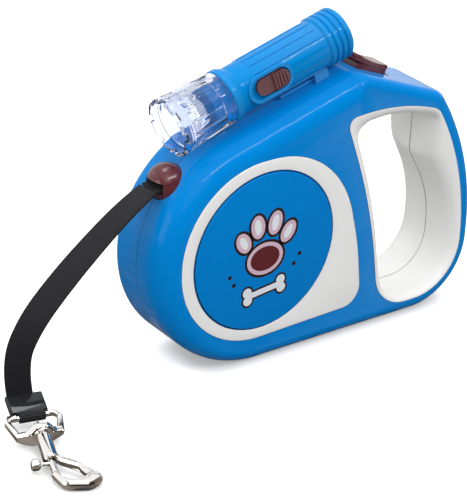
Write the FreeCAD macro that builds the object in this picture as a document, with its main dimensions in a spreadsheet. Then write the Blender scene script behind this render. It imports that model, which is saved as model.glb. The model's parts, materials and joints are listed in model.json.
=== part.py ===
"""Retractable dog leash with a clip-on torch, built as a parametric document.

Row frame: millimetres, +X towards the handle, +Y through the casing from its front to its
rear, +Z up, origin on the ground under the middle of the casing with its torch.
Sizes that start with "reel centre" are measured from the reel's axis.
"""
import FreeCAD, Part
import math
import os

import Sketcher
from FreeCAD import Placement, Rotation, Vector

doc = FreeCAD.newDocument("retractable_leash")
sheet = doc.addObject("Spreadsheet::Sheet", "sizes")
X_AXIS, Y_AXIS, Z_AXIS = Vector(1, 0, 0), Vector(0, 1, 0), Vector(0, 0, 1)
nodes = []


# ---------------------------------------------------------------- sizes and the sheet
class Size:
    """A length or angle that knows its value and the expression that gives it."""

    def __init__(self, value, text):
        self.value = value
        self.text = text

    def combine(self, other, sign, result):
        return Size(result, "(%s %s %s)" % (self.text, sign, text_of(other)))

    def __add__(self, other):
        return self.combine(other, "+", self.value + value_of(other))

    def __sub__(self, other):
        return self.combine(other, "-", self.value - value_of(other))

    def __mul__(self, other):
        return self.combine(other, "*", self.value * value_of(other))

    def __truediv__(self, other):
        return self.combine(other, "/", self.value / value_of(other))

    def __radd__(self, other):
        return Size(other, repr(other)) + self

    def __rsub__(self, other):
        return Size(other, repr(other)) - self

    def __rmul__(self, other):
        return self * other

    def __neg__(self):
        return Size(-self.value, "(0 - %s)" % self.text)


def value_of(size):
    return size.value if isinstance(size, Size) else size


def text_of(size):
    return size.text if isinstance(size, Size) else repr(size)


def cell(name, value):
    """Add a named number to the sheet."""
    cell.row += 1
    sheet.set("A%d" % cell.row, name)
    sheet.set("B%d" % cell.row, repr(value))
    sheet.setAlias("B%d" % cell.row, name)
    return Size(value, "sizes." + name)


cell.row = 0


def corner_cells(name, corners):
    """Add an outline's corners to the sheet: each is x, y and the radius that rounds it."""
    return [
        tuple(cell("%s_%s%d" % (name, field, i), v) for field, v in zip(("x", "y", "round"), corner))
        for i, corner in enumerate(corners, 1)
    ]


# the casing, measured from the reel centre
hub_x = cell("hub_x", -35.0)
hub_z = cell("hub_z", 57.2)
half_thick = cell("half_thick", 19.5)
wall = cell("wall", 2.2)
casing_corners = corner_cells("casing", [
    (-57.2, -57.2, 56.8), (-57.2, 42.8, 56.8), (52.1, 74.97, 14.0),
    (103.8, 54.9, 15.0), (127.2, 18.7, 127.0), (127.2, -57.2, 33.0),
])
inner_soft = cell("inner_soft", 8.0)
# the finger opening's rim, and the crest of the grip liner half way through
rim_corners = corner_cells("rim", [
    (120.0, 12.7, 135.0), (120.0, -50.0, 26.0), (71.0, -50.0, 20.0), (62.2, 5.7, 290.0),
    (43.5, 55.0, 4.5), (74.3, 57.2, 105.0), (99.2, 48.7, 9.0),
])
crest_corners = corner_cells("crest", [
    (115.0, -46.5, 21.0), (115.0, -6.2, 60.0), (100.2, 19.5, 9.0), (100.2, 42.5, 5.0),
    (74.5, 50.3, 50.0), (53.3, 46.8, 7.0), (67.0, 5.7, 240.0), (75.3, -46.5, 15.5),
])
rim_wall = cell("rim_wall", 2.0)
liner_proud = cell("liner_proud", 0.3)
liner_taper = cell("liner_taper", 3.0)
liner_soft = cell("liner_soft", 1.8)
# the white side plate and the round disc in it
plate_corners = corner_cells("plate", [
    (28.0, 45.3, 48.0), (48.3, 16.6, 55.0), (55.7, -11.1, 150.0), (59.8, -42.8, 10.0),
    (-46.0, -46.0, 44.5), (-46.0, 45.3, 44.5),
])
plate_sink = cell("plate_sink", 1.0)
plate_thick = cell("plate_thick", 1.3)
disc_hole_r = cell("disc_hole_r", 39.15)
disc_r = cell("disc_r", 38.85)
disc_thick = cell("disc_thick", 1.8)
# reel, axle and mainspring
axle_r = cell("axle_r", 4.5)
axle_half = cell("axle_half", 16.9)
running = cell("running", 0.06)
channel_half = cell("channel_half", 6.5)
flange_thick = cell("flange_thick", 1.3)
flange_r = cell("flange_r", 47.0)
core_r = cell("core_r", 26.0)
core_wall = cell("core_wall", 2.0)
ratchet_r = cell("ratchet_r", 32.5)
ratchet_root = cell("ratchet_root", 28.0)
ratchet_thick = cell("ratchet_thick", 3.5)
ratchet_teeth = 12
spring_half = cell("spring_half", 4.5)
spring_inner = cell("spring_inner", 6.0)
spring_pitch = cell("spring_pitch", 2.4)
spring_strip = cell("spring_strip", 0.5)
spring_half_turns = 12
wound_r = cell("wound_r", 42.0)
tape_wide = cell("tape_wide", 12.0)
tape_thick = cell("tape_thick", 1.2)
# nozzle
nozzle_x = cell("nozzle_x", -42.3)
nozzle_z = cell("nozzle_z", 36.8)
nozzle_r = cell("nozzle_r", 9.0)
nozzle_lean = cell("nozzle_lean", -49.0)
nozzle_flange_r = cell("nozzle_flange_r", 10.5)
nozzle_gap = cell("nozzle_gap", 0.15)
# brake: the button's frame lies on the sloping top, its Z square to the slope
button_x = cell("button_x", 66.5)
button_z = cell("button_z", 69.4)
button_slope = cell("button_slope", 21.2)
button_long = cell("button_long", 19.0)
button_wide = cell("button_wide", 12.0)
button_deep = cell("button_deep", 5.0)
slot_back, slot_front, slot_half = -9.9, 12.7, 6.4
dish_r, dish_x, dish_z = 50.0, 4.5, 54.3
lever_x = cell("lever_x", 28.0)
lever_z = cell("lever_z", 60.3)
lever_front = cell("lever_front", 8.4)
lever_thick = cell("lever_thick", 2.8)
pin_r = cell("pin_r", 1.5)
# screws
screw_r = cell("screw_r", 1.25)
screw_head_r = cell("screw_head_r", 2.6)
screw_seat = cell("screw_seat", 13.5)
boss_r = cell("boss_r", 3.4)
screw_spots = [
    (cell("screw_x%d" % i, x), cell("screw_z%d" % i, z))
    for i, (x, z) in enumerate([
        (22.0, 48.6), (-48.1, -17.5), (-5.4, -50.9), (62.0, -30.0), (90.0, 56.0), (114.9, -44.9),
    ], 1)
]
# torch, measured along its axis from its front rim
torch_x = cell("torch_x", -42.91)
torch_z = cell("torch_z", 62.66)
torch_lean = cell("torch_lean", 73.6)
torch_height = cell("torch_height", 15.0)
head_front_r = cell("head_front_r", 14.3)
head_back_r = cell("head_back_r", 12.6)
head_wall = cell("head_wall", 2.0)
head_len = cell("head_len", 29.5)
lens_at = cell("lens_at", 4.5)
lens_thick = cell("lens_thick", 2.2)
neck_r = cell("neck_r", 9.5)
neck_start = cell("neck_start", 20.5)
collar_start = cell("collar_start", 29.8)
collar_r = cell("collar_r", 13.0)
tube_start = cell("tube_start", 35.4)
tube_r = cell("tube_r", 11.5)
tube_bore = cell("tube_bore", 7.6)
tube_end = cell("tube_end", 83.8)
rib_start = cell("rib_start", 44.5)
rib_len = cell("rib_len", 37.5)
socket_r = cell("socket_r", 9.9)
socket_start = cell("socket_start", 77.4)
torch_len = cell("torch_len", 97.3)
cap_r = cell("cap_r", 12.5)
cap_groove = cell("cap_groove", 0.7)
cap_rings = [84.4, 87.6, 90.8]
cap_floor = cell("cap_floor", 88.2)
cell_r = cell("cell_r", 7.15)
cell_start = cell("cell_start", 26.9)
cell_len = cell("cell_len", 50.4)
rail_start = cell("rail_start", 58.0)
rail_len = cell("rail_len", 27.0)
rail_wide = cell("rail_wide", 8.0)
rail_neck = cell("rail_neck", 3.6)
clip_start = cell("clip_start", 76.5)
clip_len = cell("clip_len", 7.6)
clip_wide = cell("clip_wide", 13.2)
switch_mid = cell("switch_mid", 51.2)
switch_len = cell("switch_len", 17.4)
switch_wide = cell("switch_wide", 8.0)
switch_turn = cell("switch_turn", 9.0)
switch_travel = cell("switch_travel", 2.4)
# the free tape's route, each point x, y, z from the reel centre
route = [
    (-51.9, 0.0, 35.5), (-63.0, -1.1, 30.4), (-80.5, -2.7, 18.8), (-99.5, -4.5, 4.6),
    (-116.5, -6.1, -11.0), (-125.0, -6.8, -28.0), (-122.1, -6.5, -43.2),
]
# keeper, eye and snap hook, in the row frame
keeper_x = cell("keeper_x", -156.2)
keeper_y = cell("keeper_y", -11.0)
keeper_z = cell("keeper_z", 9.8)
keeper_wide = cell("keeper_wide", 17.0)
keeper_long = cell("keeper_long", 10.0)
keeper_thick = cell("keeper_thick", 3.0)
eye_x = cell("eye_x", -158.4)
eye_y = cell("eye_y", -19.3)
eye_z = cell("eye_z", 8.5)
bar_r = cell("bar_r", 1.3)
collar_out = cell("collar_out", 4.7)
hook_x = cell("hook_x", -159.9)
hook_y = cell("hook_y", -29.5)
hook_z = cell("hook_z", 6.4)
hook_thick = cell("hook_thick", 5.0)
hook_neck = cell("hook_neck", 2.0)
barrel_r = cell("barrel_r", 3.3)
barrel_end = cell("barrel_end", 21.0)
bolt_r = cell("bolt_r", 1.5)
bolt_back = cell("bolt_back", 15.0)
hook_yaw, hook_roll = -20.4, 5.7
knob_y = cell("knob_y", -22.6)
knob_r = cell("knob_r", 2.6)
knob_out = cell("knob_out", 5.6)
knob_long = cell("knob_long", 3.6)


# ---------------------------------------------------------------- helpers
def bind(thing, field, size):
    """Set a property, and bind it to the sheet if its size comes from there."""
    if isinstance(size, Size):
        thing.setExpression(field, size.text)
    else:
        setattr(thing, field, size)


def place(thing, x=0.0, y=0.0, z=0.0, axis=None, turn=0.0):
    """Put a thing at a point in the row frame, turned about an axis."""
    rotation = Rotation(axis, value_of(turn)) if axis else Rotation()
    thing.Placement = Placement(Vector(value_of(x), value_of(y), value_of(z)), rotation)
    for field, size in (("Base.x", x), ("Base.y", y), ("Base.z", z)):
        if isinstance(size, Size):
            thing.setExpression("Placement." + field, size.text)
    if isinstance(turn, Size):
        thing.setExpression("Placement.Rotation.Angle", turn.text + " * 1 deg")
    return thing


def node(name, thing):
    """Name a finished sub-part. Its label names its file."""
    thing.Label = name
    nodes.append(thing)
    return thing


def plane(body, role):
    return next(f for f in body.Origin.OriginFeatures if f.Role == role)


def body_sketch(body, name, role="XZ_Plane", offset=None):
    sketch = body.newObject("Sketcher::SketchObject", name)
    sketch.AttachmentSupport = (plane(body, role), [""])
    sketch.MapMode = "FlatFace"
    if isinstance(offset, Placement):
        sketch.AttachmentOffset = offset
    elif offset is not None:
        sketch.AttachmentOffset = Placement(Vector(0, 0, value_of(offset)), Rotation())
        if isinstance(offset, Size):
            sketch.setExpression("AttachmentOffset.Base.z", offset.text)
    return sketch


def pin_point(sketch, geometry, end, x, y):
    """Hold a sketch point at x, y, measured from the sketch's origin."""
    for kind, size in (("DistanceX", x), ("DistanceY", y)):
        number = sketch.addConstraint(
            Sketcher.Constraint(kind, -1, 1, geometry, end, float(value_of(size)))
        )
        if isinstance(size, Size):
            sketch.setExpression("Constraints[%d]" % number, size.text)


def set_radius(sketch, geometry, radius):
    number = sketch.addConstraint(
        Sketcher.Constraint("Radius", geometry, float(value_of(radius)))
    )
    if isinstance(radius, Size):
        sketch.setExpression("Constraints[%d]" % number, radius.text)


def polygon(sketch, points):
    """Draw a closed polygon with each corner held by the sheet."""
    spots = [Vector(value_of(x), value_of(y), 0) for x, y in points]
    first = sketch.GeometryCount
    for start, end in zip(spots, spots[1:] + spots[:1]):
        sketch.addGeometry(Part.LineSegment(start, end))
    for i, (x, y) in enumerate(points):
        following = first + (i + 1) % len(points)
        sketch.addConstraint(Sketcher.Constraint("Coincident", first + i, 2, following, 1))
        pin_point(sketch, first + i, 1, x, y)
    return sketch


def rounded(sketch, corners):
    """Draw a closed outline of straight runs and tangent arcs, one arc at each corner."""
    spots = [Vector(value_of(x), value_of(y), 0) for x, y, _ in corners]
    first = sketch.GeometryCount
    count = len(corners)
    arcs = []
    for i, (x, y, r) in enumerate(corners):
        spot = spots[i]
        back = (spots[i - 1] - spot).normalize()
        ahead = (spots[(i + 1) % count] - spot).normalize()
        half = back.getAngle(ahead) / 2
        reach = value_of(r) / math.tan(half)
        centre = spot + (back + ahead).normalize() * (value_of(r) / math.sin(half))
        middle = centre + (spot - centre).normalize() * value_of(r)
        arcs.append((spot + back * reach, middle, spot + ahead * reach, back.cross(ahead).z > 0))
    for i, (start, middle, end, clockwise) in enumerate(arcs):
        sketch.addGeometry(Part.Arc(end, middle, start) if clockwise else Part.Arc(start, middle, end))
        sketch.addGeometry(Part.LineSegment(end, arcs[(i + 1) % count][0]))
        sketch.addGeometry(Part.Point(spots[i]), True)
    for i, (x, y, r) in enumerate(corners):
        arc, line, spot = first + 3 * i, first + 3 * i + 1, first + 3 * i + 2
        before = first + (3 * i - 2) % (3 * count)
        entry, leaving = (2, 1) if arcs[i][3] else (1, 2)
        sketch.addConstraint(Sketcher.Constraint("Tangent", before, 2, arc, entry))
        sketch.addConstraint(Sketcher.Constraint("Tangent", arc, leaving, line, 1))
        sketch.addConstraint(Sketcher.Constraint("PointOnObject", spot, 1, before))
        sketch.addConstraint(Sketcher.Constraint("PointOnObject", spot, 1, line))
        set_radius(sketch, arc, r)
        pin_point(sketch, spot, 1, x, y)
    return sketch


def circle(sketch, x, y, radius):
    number = sketch.addGeometry(Part.Circle(Vector(value_of(x), value_of(y), 0), Z_AXIS, value_of(radius)))
    set_radius(sketch, number, radius)
    pin_point(sketch, number, 3, x, y)
    return sketch


def new_body(name):
    return node(name, doc.addObject("PartDesign::Body", name + "_body"))


def pad(body, sketch, length, middle=False, reverse=False):
    feature = body.newObject("PartDesign::Pad", sketch.Name + "_pad")
    feature.Profile = sketch
    feature.Midplane = middle
    feature.Reversed = reverse
    bind(feature, "Length", length)
    return settle(body, feature)


def pocket(body, sketch, length=None, middle=False, reverse=False):
    """Cut a sketch's outline away, to a depth or right through, and check that it cut."""
    doc.recompute()
    before = body.Shape.Volume
    feature = body.newObject("PartDesign::Pocket", sketch.Name + "_pocket")
    feature.Profile = sketch
    feature.Midplane = middle
    feature.Reversed = reverse
    if length is None:
        feature.Type = "ThroughAll"
    else:
        bind(feature, "Length", length)
    settle(body, feature)
    if body.Shape.Volume >= before - 1e-6:
        raise RuntimeError("%s cuts nothing" % feature.Name)
    return feature


def settle(body, feature):
    body.Tip = feature
    doc.recompute()
    return feature


def turn_profile(body, points, name="profile"):
    """Turn a closed (radius, height) profile about the body's Z axis."""
    sketch = polygon(body_sketch(body, body.Label + "_" + name), points)
    feature = body.newObject("PartDesign::Revolution", sketch.Name + "_turned")
    feature.Profile = sketch
    feature.ReferenceAxis = (sketch, ["V_Axis"])
    feature.Angle = 360.0
    return settle(body, feature)


def polar(body, feature, count, angle=360.0):
    pattern = body.newObject("PartDesign::PolarPattern", feature.Name + "_polar")
    pattern.Originals = [feature]
    pattern.Axis = (plane(body, "Z_Axis"), [""])
    pattern.Angle = angle
    pattern.Occurrences = count
    return settle(body, pattern)


def soften(body, chosen, radius):
    """Fillet the edges of a body that the chooser accepts."""
    doc.recompute()
    tip = body.Tip
    names = ["Edge%d" % i for i, e in enumerate(tip.Shape.Edges, 1) if chosen(e)]
    feature = body.newObject("PartDesign::Fillet", tip.Name + "_soft")
    feature.Base = (tip, names)
    bind(feature, "Radius", radius)
    return settle(body, feature)


def cylinder(name, radius, height, x=0.0, y=0.0, z=0.0, axis=None, turn=0.0):
    rod = doc.addObject("Part::Cylinder", name)
    bind(rod, "Radius", radius)
    bind(rod, "Height", height)
    return place(rod, x, y, z, axis, turn)


def extrude(name, base, direction, length):
    solid = doc.addObject("Part::Extrusion", name)
    solid.Base = base
    solid.DirMode = "Custom"
    solid.Dir = direction
    bind(solid, "LengthFwd", length)
    solid.Solid = True
    return solid


def side_sketch(name, corners):
    """An outline in the casing's side view, measured from the reel centre."""
    sketch = doc.addObject("Sketcher::SketchObject", name)
    rounded(sketch, corners)
    place(sketch, hub_x, 0.0, hub_z, X_AXIS, 90.0)
    return sketch


def fuse(name, things):
    joined = doc.addObject("Part::MultiFuse", name)
    joined.Shapes = things
    return joined


def cut(name, base, tool):
    result = doc.addObject("Part::Cut", name)
    result.Base = base
    result.Tool = tool
    doc.recompute()
    if result.Shape.Volume >= base.Shape.Volume - 1e-6:
        raise RuntimeError("%s cuts nothing" % name)
    return result


def soften_solid(name, base, radii):
    """Fillet a solid's edges: radii gives (edge number, first radius, last radius)."""
    softened = doc.addObject("Part::Fillet", name)
    softened.Base = base
    softened.Edges = radii
    doc.recompute()
    return softened


def mirror(name, source):
    """The other half: the source mirrored in the casing's middle plane."""
    twin = doc.addObject("Part::Mirroring", name)
    twin.Source = source
    twin.Normal = Y_AXIS
    twin.Base = Vector(0, 0, 0)
    return twin


def group(things, name):
    """Several separate solids as one node."""
    together = doc.addObject("Part::Compound", name)
    together.Links = things
    return together


# ---------------------------------------------------------------- casing
def widened(name, outline, amount):
    """An outline moved outwards, or inwards where the amount is negative."""
    moved = doc.addObject("Part::Offset2D", name)
    moved.Source = outline
    bind(moved, "Value", amount)
    moved.Join = 0
    moved.Fill = False
    return moved


def half_solid(name, outline, depth):
    """An outline made solid from the middle plane to a depth in front of it."""
    return extrude(name, outline, -Y_AXIS, depth)


def edge_radius(x, z, rear):
    """How round the casing's outer edge is, at a place measured from the reel centre."""
    if rear and x < 10:
        return 6.0
    if z < 0:
        return 12.0 if x < -30 else 8.0 if x < 10 else 6.0
    if x < 0:
        return 12.0
    return 5.0 if x < 80 else 7.0


def rounded_half(name, outline, depth, rear):
    """Half the casing with its outer edge rounded, more so at the front about the reel."""
    solid = half_solid(name + "_square", outline, depth)
    doc.recompute()
    front = -value_of(depth)
    radii = []
    for i, edge in enumerate(solid.Shape.Edges, 1):
        if abs(edge.BoundBox.YMin - front) > 1e-6 or abs(edge.BoundBox.YMax - front) > 1e-6:
            continue
        ends = [edge.valueAt(edge.FirstParameter), edge.valueAt(edge.LastParameter)]
        first, last = [edge_radius(p.x - hub_x.value, p.z - hub_z.value, rear) for p in ends]
        radii.append((i, first, last))
    return soften_solid(name, solid, radii)


def hub_rod(name, radius, x, z, front, back):
    """A rod along Y between two depths, at a place measured from the reel centre."""
    return cylinder(name, radius, back - front, hub_x + x, front, hub_z + z, X_AXIS, -90.0)


def slope_box(name, low, high):
    """A block in the brake button's own frame, on the sloping top."""
    block = doc.addObject("Part::Box", name)
    for field, a, b in zip(("Length", "Width", "Height"), low, high):
        bind(block, field, b - a)
    return place_on_slope(block, *low)


def place_on_slope(thing, x, y, z):
    slope = math.radians(button_slope.value)
    across = x * math.cos(slope) + z * math.sin(slope)
    up = z * math.cos(slope) - x * math.sin(slope)
    return place(thing, hub_x + button_x + across, y, hub_z + button_z + up, Y_AXIS, button_slope)


def nozzle_bore(name):
    lean = math.radians(nozzle_lean.value)
    inner = -8.0
    x = hub_x + nozzle_x + inner * math.sin(lean)
    z = hub_z + nozzle_z + inner * math.cos(lean)
    return cylinder(name, nozzle_r + nozzle_gap, 24.0, x, 0.0, z, Y_AXIS, nozzle_lean)


def shell_walls(name):
    """Half the casing as a hollow shell, with the wall round the finger opening and bosses."""
    outline = side_sketch(name + "_outline", casing_corners)
    outer = rounded_half(name + "_outer", outline, half_thick, name == "rear")
    inset = widened(name + "_inset", outline, -wall)
    room_solid = half_solid(name + "_room_square", inset, half_thick - wall)
    doc.recompute()
    front = -(half_thick - wall).value
    radii = [
        (i, inner_soft.value, inner_soft.value)
        for i, e in enumerate(room_solid.Shape.Edges, 1)
        if abs(e.BoundBox.YMin - front) < 1e-6 and abs(e.BoundBox.YMax - front) < 1e-6
    ]
    room = soften_solid(name + "_room", room_solid, radii)
    hollow = cut(name + "_hollow", outer, room)
    rim = side_sketch(name + "_rim", rim_corners)
    rim_wide = widened(name + "_rim_wide", rim, rim_wall)
    parts = [hollow, half_solid(name + "_rim_collar", rim_wide, half_thick)]
    for i, (x, z) in enumerate(screw_spots, 1):
        parts.append(hub_rod("%s_boss%d" % (name, i), boss_r, x, z, 1.0 - half_thick, 0.0))
    parts.append(hub_rod(name + "_axle_boss", 8.0, 0.0, 0.0, 1.0 - half_thick, -12.4))
    trimmed = doc.addObject("Part::MultiCommon", name + "_walls")
    trimmed.Shapes = [fuse(name + "_joined", parts), outer]
    opening = half_solid(name + "_opening", rim, half_thick + 1.0)
    return trimmed, opening


def shell_cutters(name, opening):
    """What is cut from both shells: opening, plate seat, axle seat, nozzle and button holes."""
    seat = side_sketch(name + "_plate_seat", plate_corners)
    place(seat, hub_x, plate_sink - half_thick, hub_z, X_AXIS, 90.0)
    return [
        opening,
        half_solid(name + "_plate_recess", seat, plate_sink + 1.0),
        hub_rod(name + "_axle_seat", axle_r + 0.02, 0.0, 0.0, -axle_half, 0.0),
        nozzle_bore(name + "_nozzle_bore"),
        slope_box(name + "_button_slot", (slot_back, -slot_half, -4.0), (slot_front, slot_half, 8.0)),
    ]


def front_shell():
    walls, opening = shell_walls("front")
    tools = shell_cutters("front", opening)
    for i, (x, z) in enumerate(screw_spots, 1):
        tools.append(hub_rod("front_thread%d" % i, screw_r + 0.05, x, z, -12.5, 0.0))
    body = cut("front_shell_cut", walls, fuse("front_tools", tools))
    shelf = slope_box("spring_shelf", (-10.5, -18.5, -13.0), (-2.6, 3.4, -11.6))
    ledge = slope_box("front_ledge", (-14.0, -18.5, -5.7), (16.0, -7.7, -4.3))
    node("front_shell", fuse("front_shell_joined", [body, shelf, ledge]))


def rear_shell():
    walls, opening = shell_walls("rear")
    tools = shell_cutters("rear", opening)
    for i, (x, z) in enumerate(screw_spots, 1):
        tools.append(hub_rod("rear_clear%d" % i, screw_r + 0.05, x, z, -20.0, 0.0))
        tools.append(hub_rod("rear_sink%d" % i, screw_head_r + 0.1, x, z, -20.5, -screw_seat))
    body = cut("rear_shell_cut", walls, fuse("rear_tools", tools))
    lever_back = lever_front + lever_thick + 0.4
    parts = [
        body,
        hub_rod("lever_boss", 3.4, lever_x, lever_z, -18.5, -lever_back),
        slope_box("rear_ledge_left", (-14.0, -18.5, -5.7), (-9.0, -7.7, -4.3)),
        slope_box("rear_ledge_right", (4.5, -18.5, -5.7), (16.0, -7.7, -4.3)),
    ]
    seat = hub_rod("lever_pin_seat", pin_r + 0.02, lever_x, lever_z, -17.2, 0.0)
    bored = cut("rear_shell_bored", fuse("rear_shell_joined", parts), seat)
    node("rear_shell", mirror("rear_shell_half", bored))


def side_trim():
    """The white plates and round discs let into both sides."""
    plate = half_solid("plate_solid", side_sketch("plate_outline", plate_corners), plate_thick)
    doc.recompute()
    plate.Base.setExpression("Placement.Base.y", (plate_sink - half_thick).text)
    hole = hub_rod("plate_hole", disc_hole_r, 0.0, 0.0, -22.0, -15.0)
    doc.recompute()
    front_plate = node("front_side_plate", cut("front_plate", plate, hole))
    node("rear_side_plate", mirror("rear_plate", front_plate))
    disc = doc.addObject("PartDesign::Body", "disc_body")
    rise = disc_thick
    turn_profile(disc, [
        (0.0, 0.0), (disc_r, 0.0), (disc_r, rise - 0.5), (disc_r - 0.5, rise), (0.0, rise),
    ])
    place(disc, hub_x, plate_sink - half_thick, hub_z, X_AXIS, 90.0)
    front_disc = node("front_side_disc", disc)
    node("rear_side_disc", mirror("rear_disc", front_disc))


def grip_liners():
    """The white lining of the finger opening, in two halves, fullest half way through."""
    depth = half_thick + liner_proud
    block = half_solid("liner_block", side_sketch("liner_outline", rim_corners), depth)
    bore = half_solid("liner_bore", side_sketch("liner_crest", crest_corners), depth + 1.0)
    bind(bore, "TaperAngle", liner_taper)
    sleeve = cut("liner_sleeve", block, bore)
    front = -depth.value
    walls = [f for f in block.Shape.Faces if f.BoundBox.YLength > 1.0]
    inner = []
    for i, edge in enumerate(sleeve.Shape.Edges, 1):
        if abs(edge.BoundBox.YMin - front) > 1e-6 or abs(edge.BoundBox.YMax - front) > 1e-6:
            continue
        middle = Part.Vertex(edge.valueAt((edge.FirstParameter + edge.LastParameter) / 2))
        if min(f.distToShape(middle)[0] for f in walls) > 0.5:
            inner.append((i, liner_soft.value, liner_soft.value))
    front_half = node("front_grip_liner", soften_solid("front_liner", sleeve, inner))
    node("rear_grip_liner", mirror("rear_liner", front_half))


def leash_nozzle():
    """The ball-fronted nozzle held in the seam, with a slot that flares for the tape."""
    ball = doc.addObject("PartDesign::Body", "nozzle_ball")
    sketch = body_sketch(ball, "nozzle_profile")
    radius = nozzle_r.value
    sketch.addGeometry(Part.Arc(
        Vector(radius, 0, 0), Vector(radius * math.cos(0.8), radius * math.sin(0.8), 0), Vector(0, radius, 0)
    ))
    points = [(0.0, radius), (0.0, -3.6), (nozzle_flange_r, -3.6), (nozzle_flange_r, -1.9)]
    points += [(nozzle_r, -1.9), (nozzle_r, 0.0)]
    spots = [Vector(value_of(x), value_of(y), 0) for x, y in points]
    for start, end in zip(spots, spots[1:]):
        sketch.addGeometry(Part.LineSegment(start, end))
    sketch.addConstraint(Sketcher.Constraint("Coincident", 0, 2, 1, 1))
    for line in range(1, 5):
        sketch.addConstraint(Sketcher.Constraint("Coincident", line, 2, line + 1, 1))
    sketch.addConstraint(Sketcher.Constraint("Coincident", 5, 2, 0, 1))
    pin_point(sketch, 0, 3, 0.0, 0.0)
    for line, (x, y) in enumerate(points[1:], 1):
        pin_point(sketch, line, 2, x, y)
    sketch.addConstraint(Sketcher.Constraint("PointOnObject", 0, 2, -2))
    turned = ball.newObject("PartDesign::Revolution", "nozzle_turned")
    turned.Profile = sketch
    turned.ReferenceAxis = (sketch, ["V_Axis"])
    turned.Angle = 360.0
    settle(ball, turned)
    place(ball, hub_x + nozzle_x, 0.0, hub_z + nozzle_z, Y_AXIS, nozzle_lean)
    slot = doc.addObject("Sketcher::SketchObject", "nozzle_slot")
    polygon(slot, [
        (16.0, 4.2), (1.0, 1.3), (-14.0, 3.9), (-14.0, -5.0), (-1.0, -1.5), (16.0, 0.4),
    ])
    place(slot, hub_x + nozzle_x, tape_wide / 2 + 0.5, hub_z + nozzle_z, X_AXIS, 90.0)
    node("leash_nozzle", cut("nozzle_slotted", ball, extrude("nozzle_way", slot, -Y_AXIS, tape_wide + 1.0)))


# ---------------------------------------------------------------- reel
def around(radius, degrees):
    """The point at a radius and an angle, as two sizes."""
    turn = math.radians(degrees)
    return radius * round(math.cos(turn), 6), radius * round(math.sin(turn), 6)


def reel_front(thing):
    """Stand a thing at the reel's centre with its Z axis towards the casing's front."""
    return place(thing, hub_x, 0.0, hub_z, X_AXIS, 90.0)


def reel():
    body = new_body("reel")
    bore = axle_r + running
    outer = channel_half + flange_thick
    back = outer + ratchet_thick
    cup = core_r - core_wall
    turn_profile(body, [
        (bore, -back), (8.0, -back), (8.0, -outer), (cup, -outer), (cup, -back),
        (ratchet_root, -back), (ratchet_root, -outer), (flange_r, -outer), (flange_r, -channel_half),
        (core_r, -channel_half), (core_r, channel_half), (flange_r, channel_half),
        (flange_r, outer), (cup, outer), (cup, -channel_half), (bore, -channel_half),
    ])
    tooth = body_sketch(body, "ratchet_tooth", "XY_Plane", -back)
    foot = ratchet_root - 1.0
    polygon(tooth, [around(foot, 0), around(ratchet_r, 1), around(ratchet_r, 7), around(foot, 12)])
    polar(body, pad(body, tooth, ratchet_thick), ratchet_teeth)
    reel_front(body)


def reel_axle():
    """The axle fixed in both shells, with a slot for the mainspring's inner end."""
    body = new_body("reel_axle")
    turn_profile(body, [
        (0.0, -axle_half), (axle_r - 0.5, -axle_half), (axle_r, 0.5 - axle_half),
        (axle_r, axle_half - 0.5), (axle_r - 0.5, axle_half), (0.0, axle_half),
    ])
    slot = body_sketch(body, "axle_slot")
    polygon(slot, [(-0.5, -6.0), (0.5, -6.0), (0.5, 6.0), (-0.5, 6.0)])
    pocket(body, slot, middle=True)
    reel_front(body)


def mainspring():
    """A flat strip wound in half circles, each a little larger than the last."""
    strip, step, low = spring_strip.value, spring_pitch.value / 2, -spring_half.value
    inner, outer = [], []
    for i in range(spring_half_turns):
        radius = spring_inner.value + step * i
        centre = 0.0 if i % 2 == 0 else step
        sign = 1 if i % 2 == 0 else -1
        for edges, r in ((inner, radius), (outer, radius + strip)):
            start = Vector(centre + sign * r, 0, low)
            top = Vector(centre, sign * r, low)
            edges.append(Part.Arc(start, top, Vector(centre - sign * r, 0, low)).toShape())
    first = Part.makeLine(inner[0].Vertexes[0].Point, outer[0].Vertexes[0].Point)
    last = Part.makeLine(inner[-1].Vertexes[-1].Point, outer[-1].Vertexes[-1].Point)
    wire = Part.Wire(Part.__sortEdges__(inner + [last] + outer + [first]))
    thing = doc.addObject("Part::Feature", "mainspring_strip")
    thing.Shape = Part.Face(wire).extrude(Vector(0, 0, 2 * spring_half.value))
    node("mainspring", reel_front(thing))


def reel_inside():
    """The spring's cover and the tape wound on the reel."""
    cover = new_body("spring_cover")
    front = channel_half + flange_thick
    hole = axle_r + 0.5
    turn_profile(cover, [
        (hole, front), (core_r + 2.0, front), (core_r + 2.0, front + 1.2), (hole, front + 1.2),
    ])
    reel_front(cover)
    tape = new_body("wound_tape")
    turn_profile(tape, [
        (core_r, -tape_wide / 2), (wound_r, -tape_wide / 2),
        (wound_r, tape_wide / 2), (core_r, tape_wide / 2),
    ])
    reel_front(tape)


def tape_feed():
    """The tape's run inside the casing, from the top of the winding to the nozzle."""
    thick, low = tape_thick.value / 2, -tape_wide.value / 2
    way = [Vector(-6.5, 43.1, low), Vector(nozzle_x.value, nozzle_z.value, low)]
    way.append(Vector(route[0][0] + 0.8, route[0][2], low))
    first = (way[1] - way[0]).normalize()
    second = (way[2] - way[1]).normalize()
    sides = [Vector(-first.y, first.x, 0) * thick, Vector(-second.y, second.x, 0) * thick]
    corner = (sides[0] + sides[1]) / 2
    points = [way[0] + sides[0], way[1] + corner, way[2] + sides[1]]
    points += [way[2] - sides[1], way[1] - corner, way[0] - sides[0]]
    outline = Part.Face(Part.makePolygon(points + points[:1]))
    thing = doc.addObject("Part::Feature", "tape_feed_strip")
    thing.Shape = outline.extrude(Vector(0, 0, tape_wide.value))
    node("tape_feed", reel_front(thing))


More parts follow.
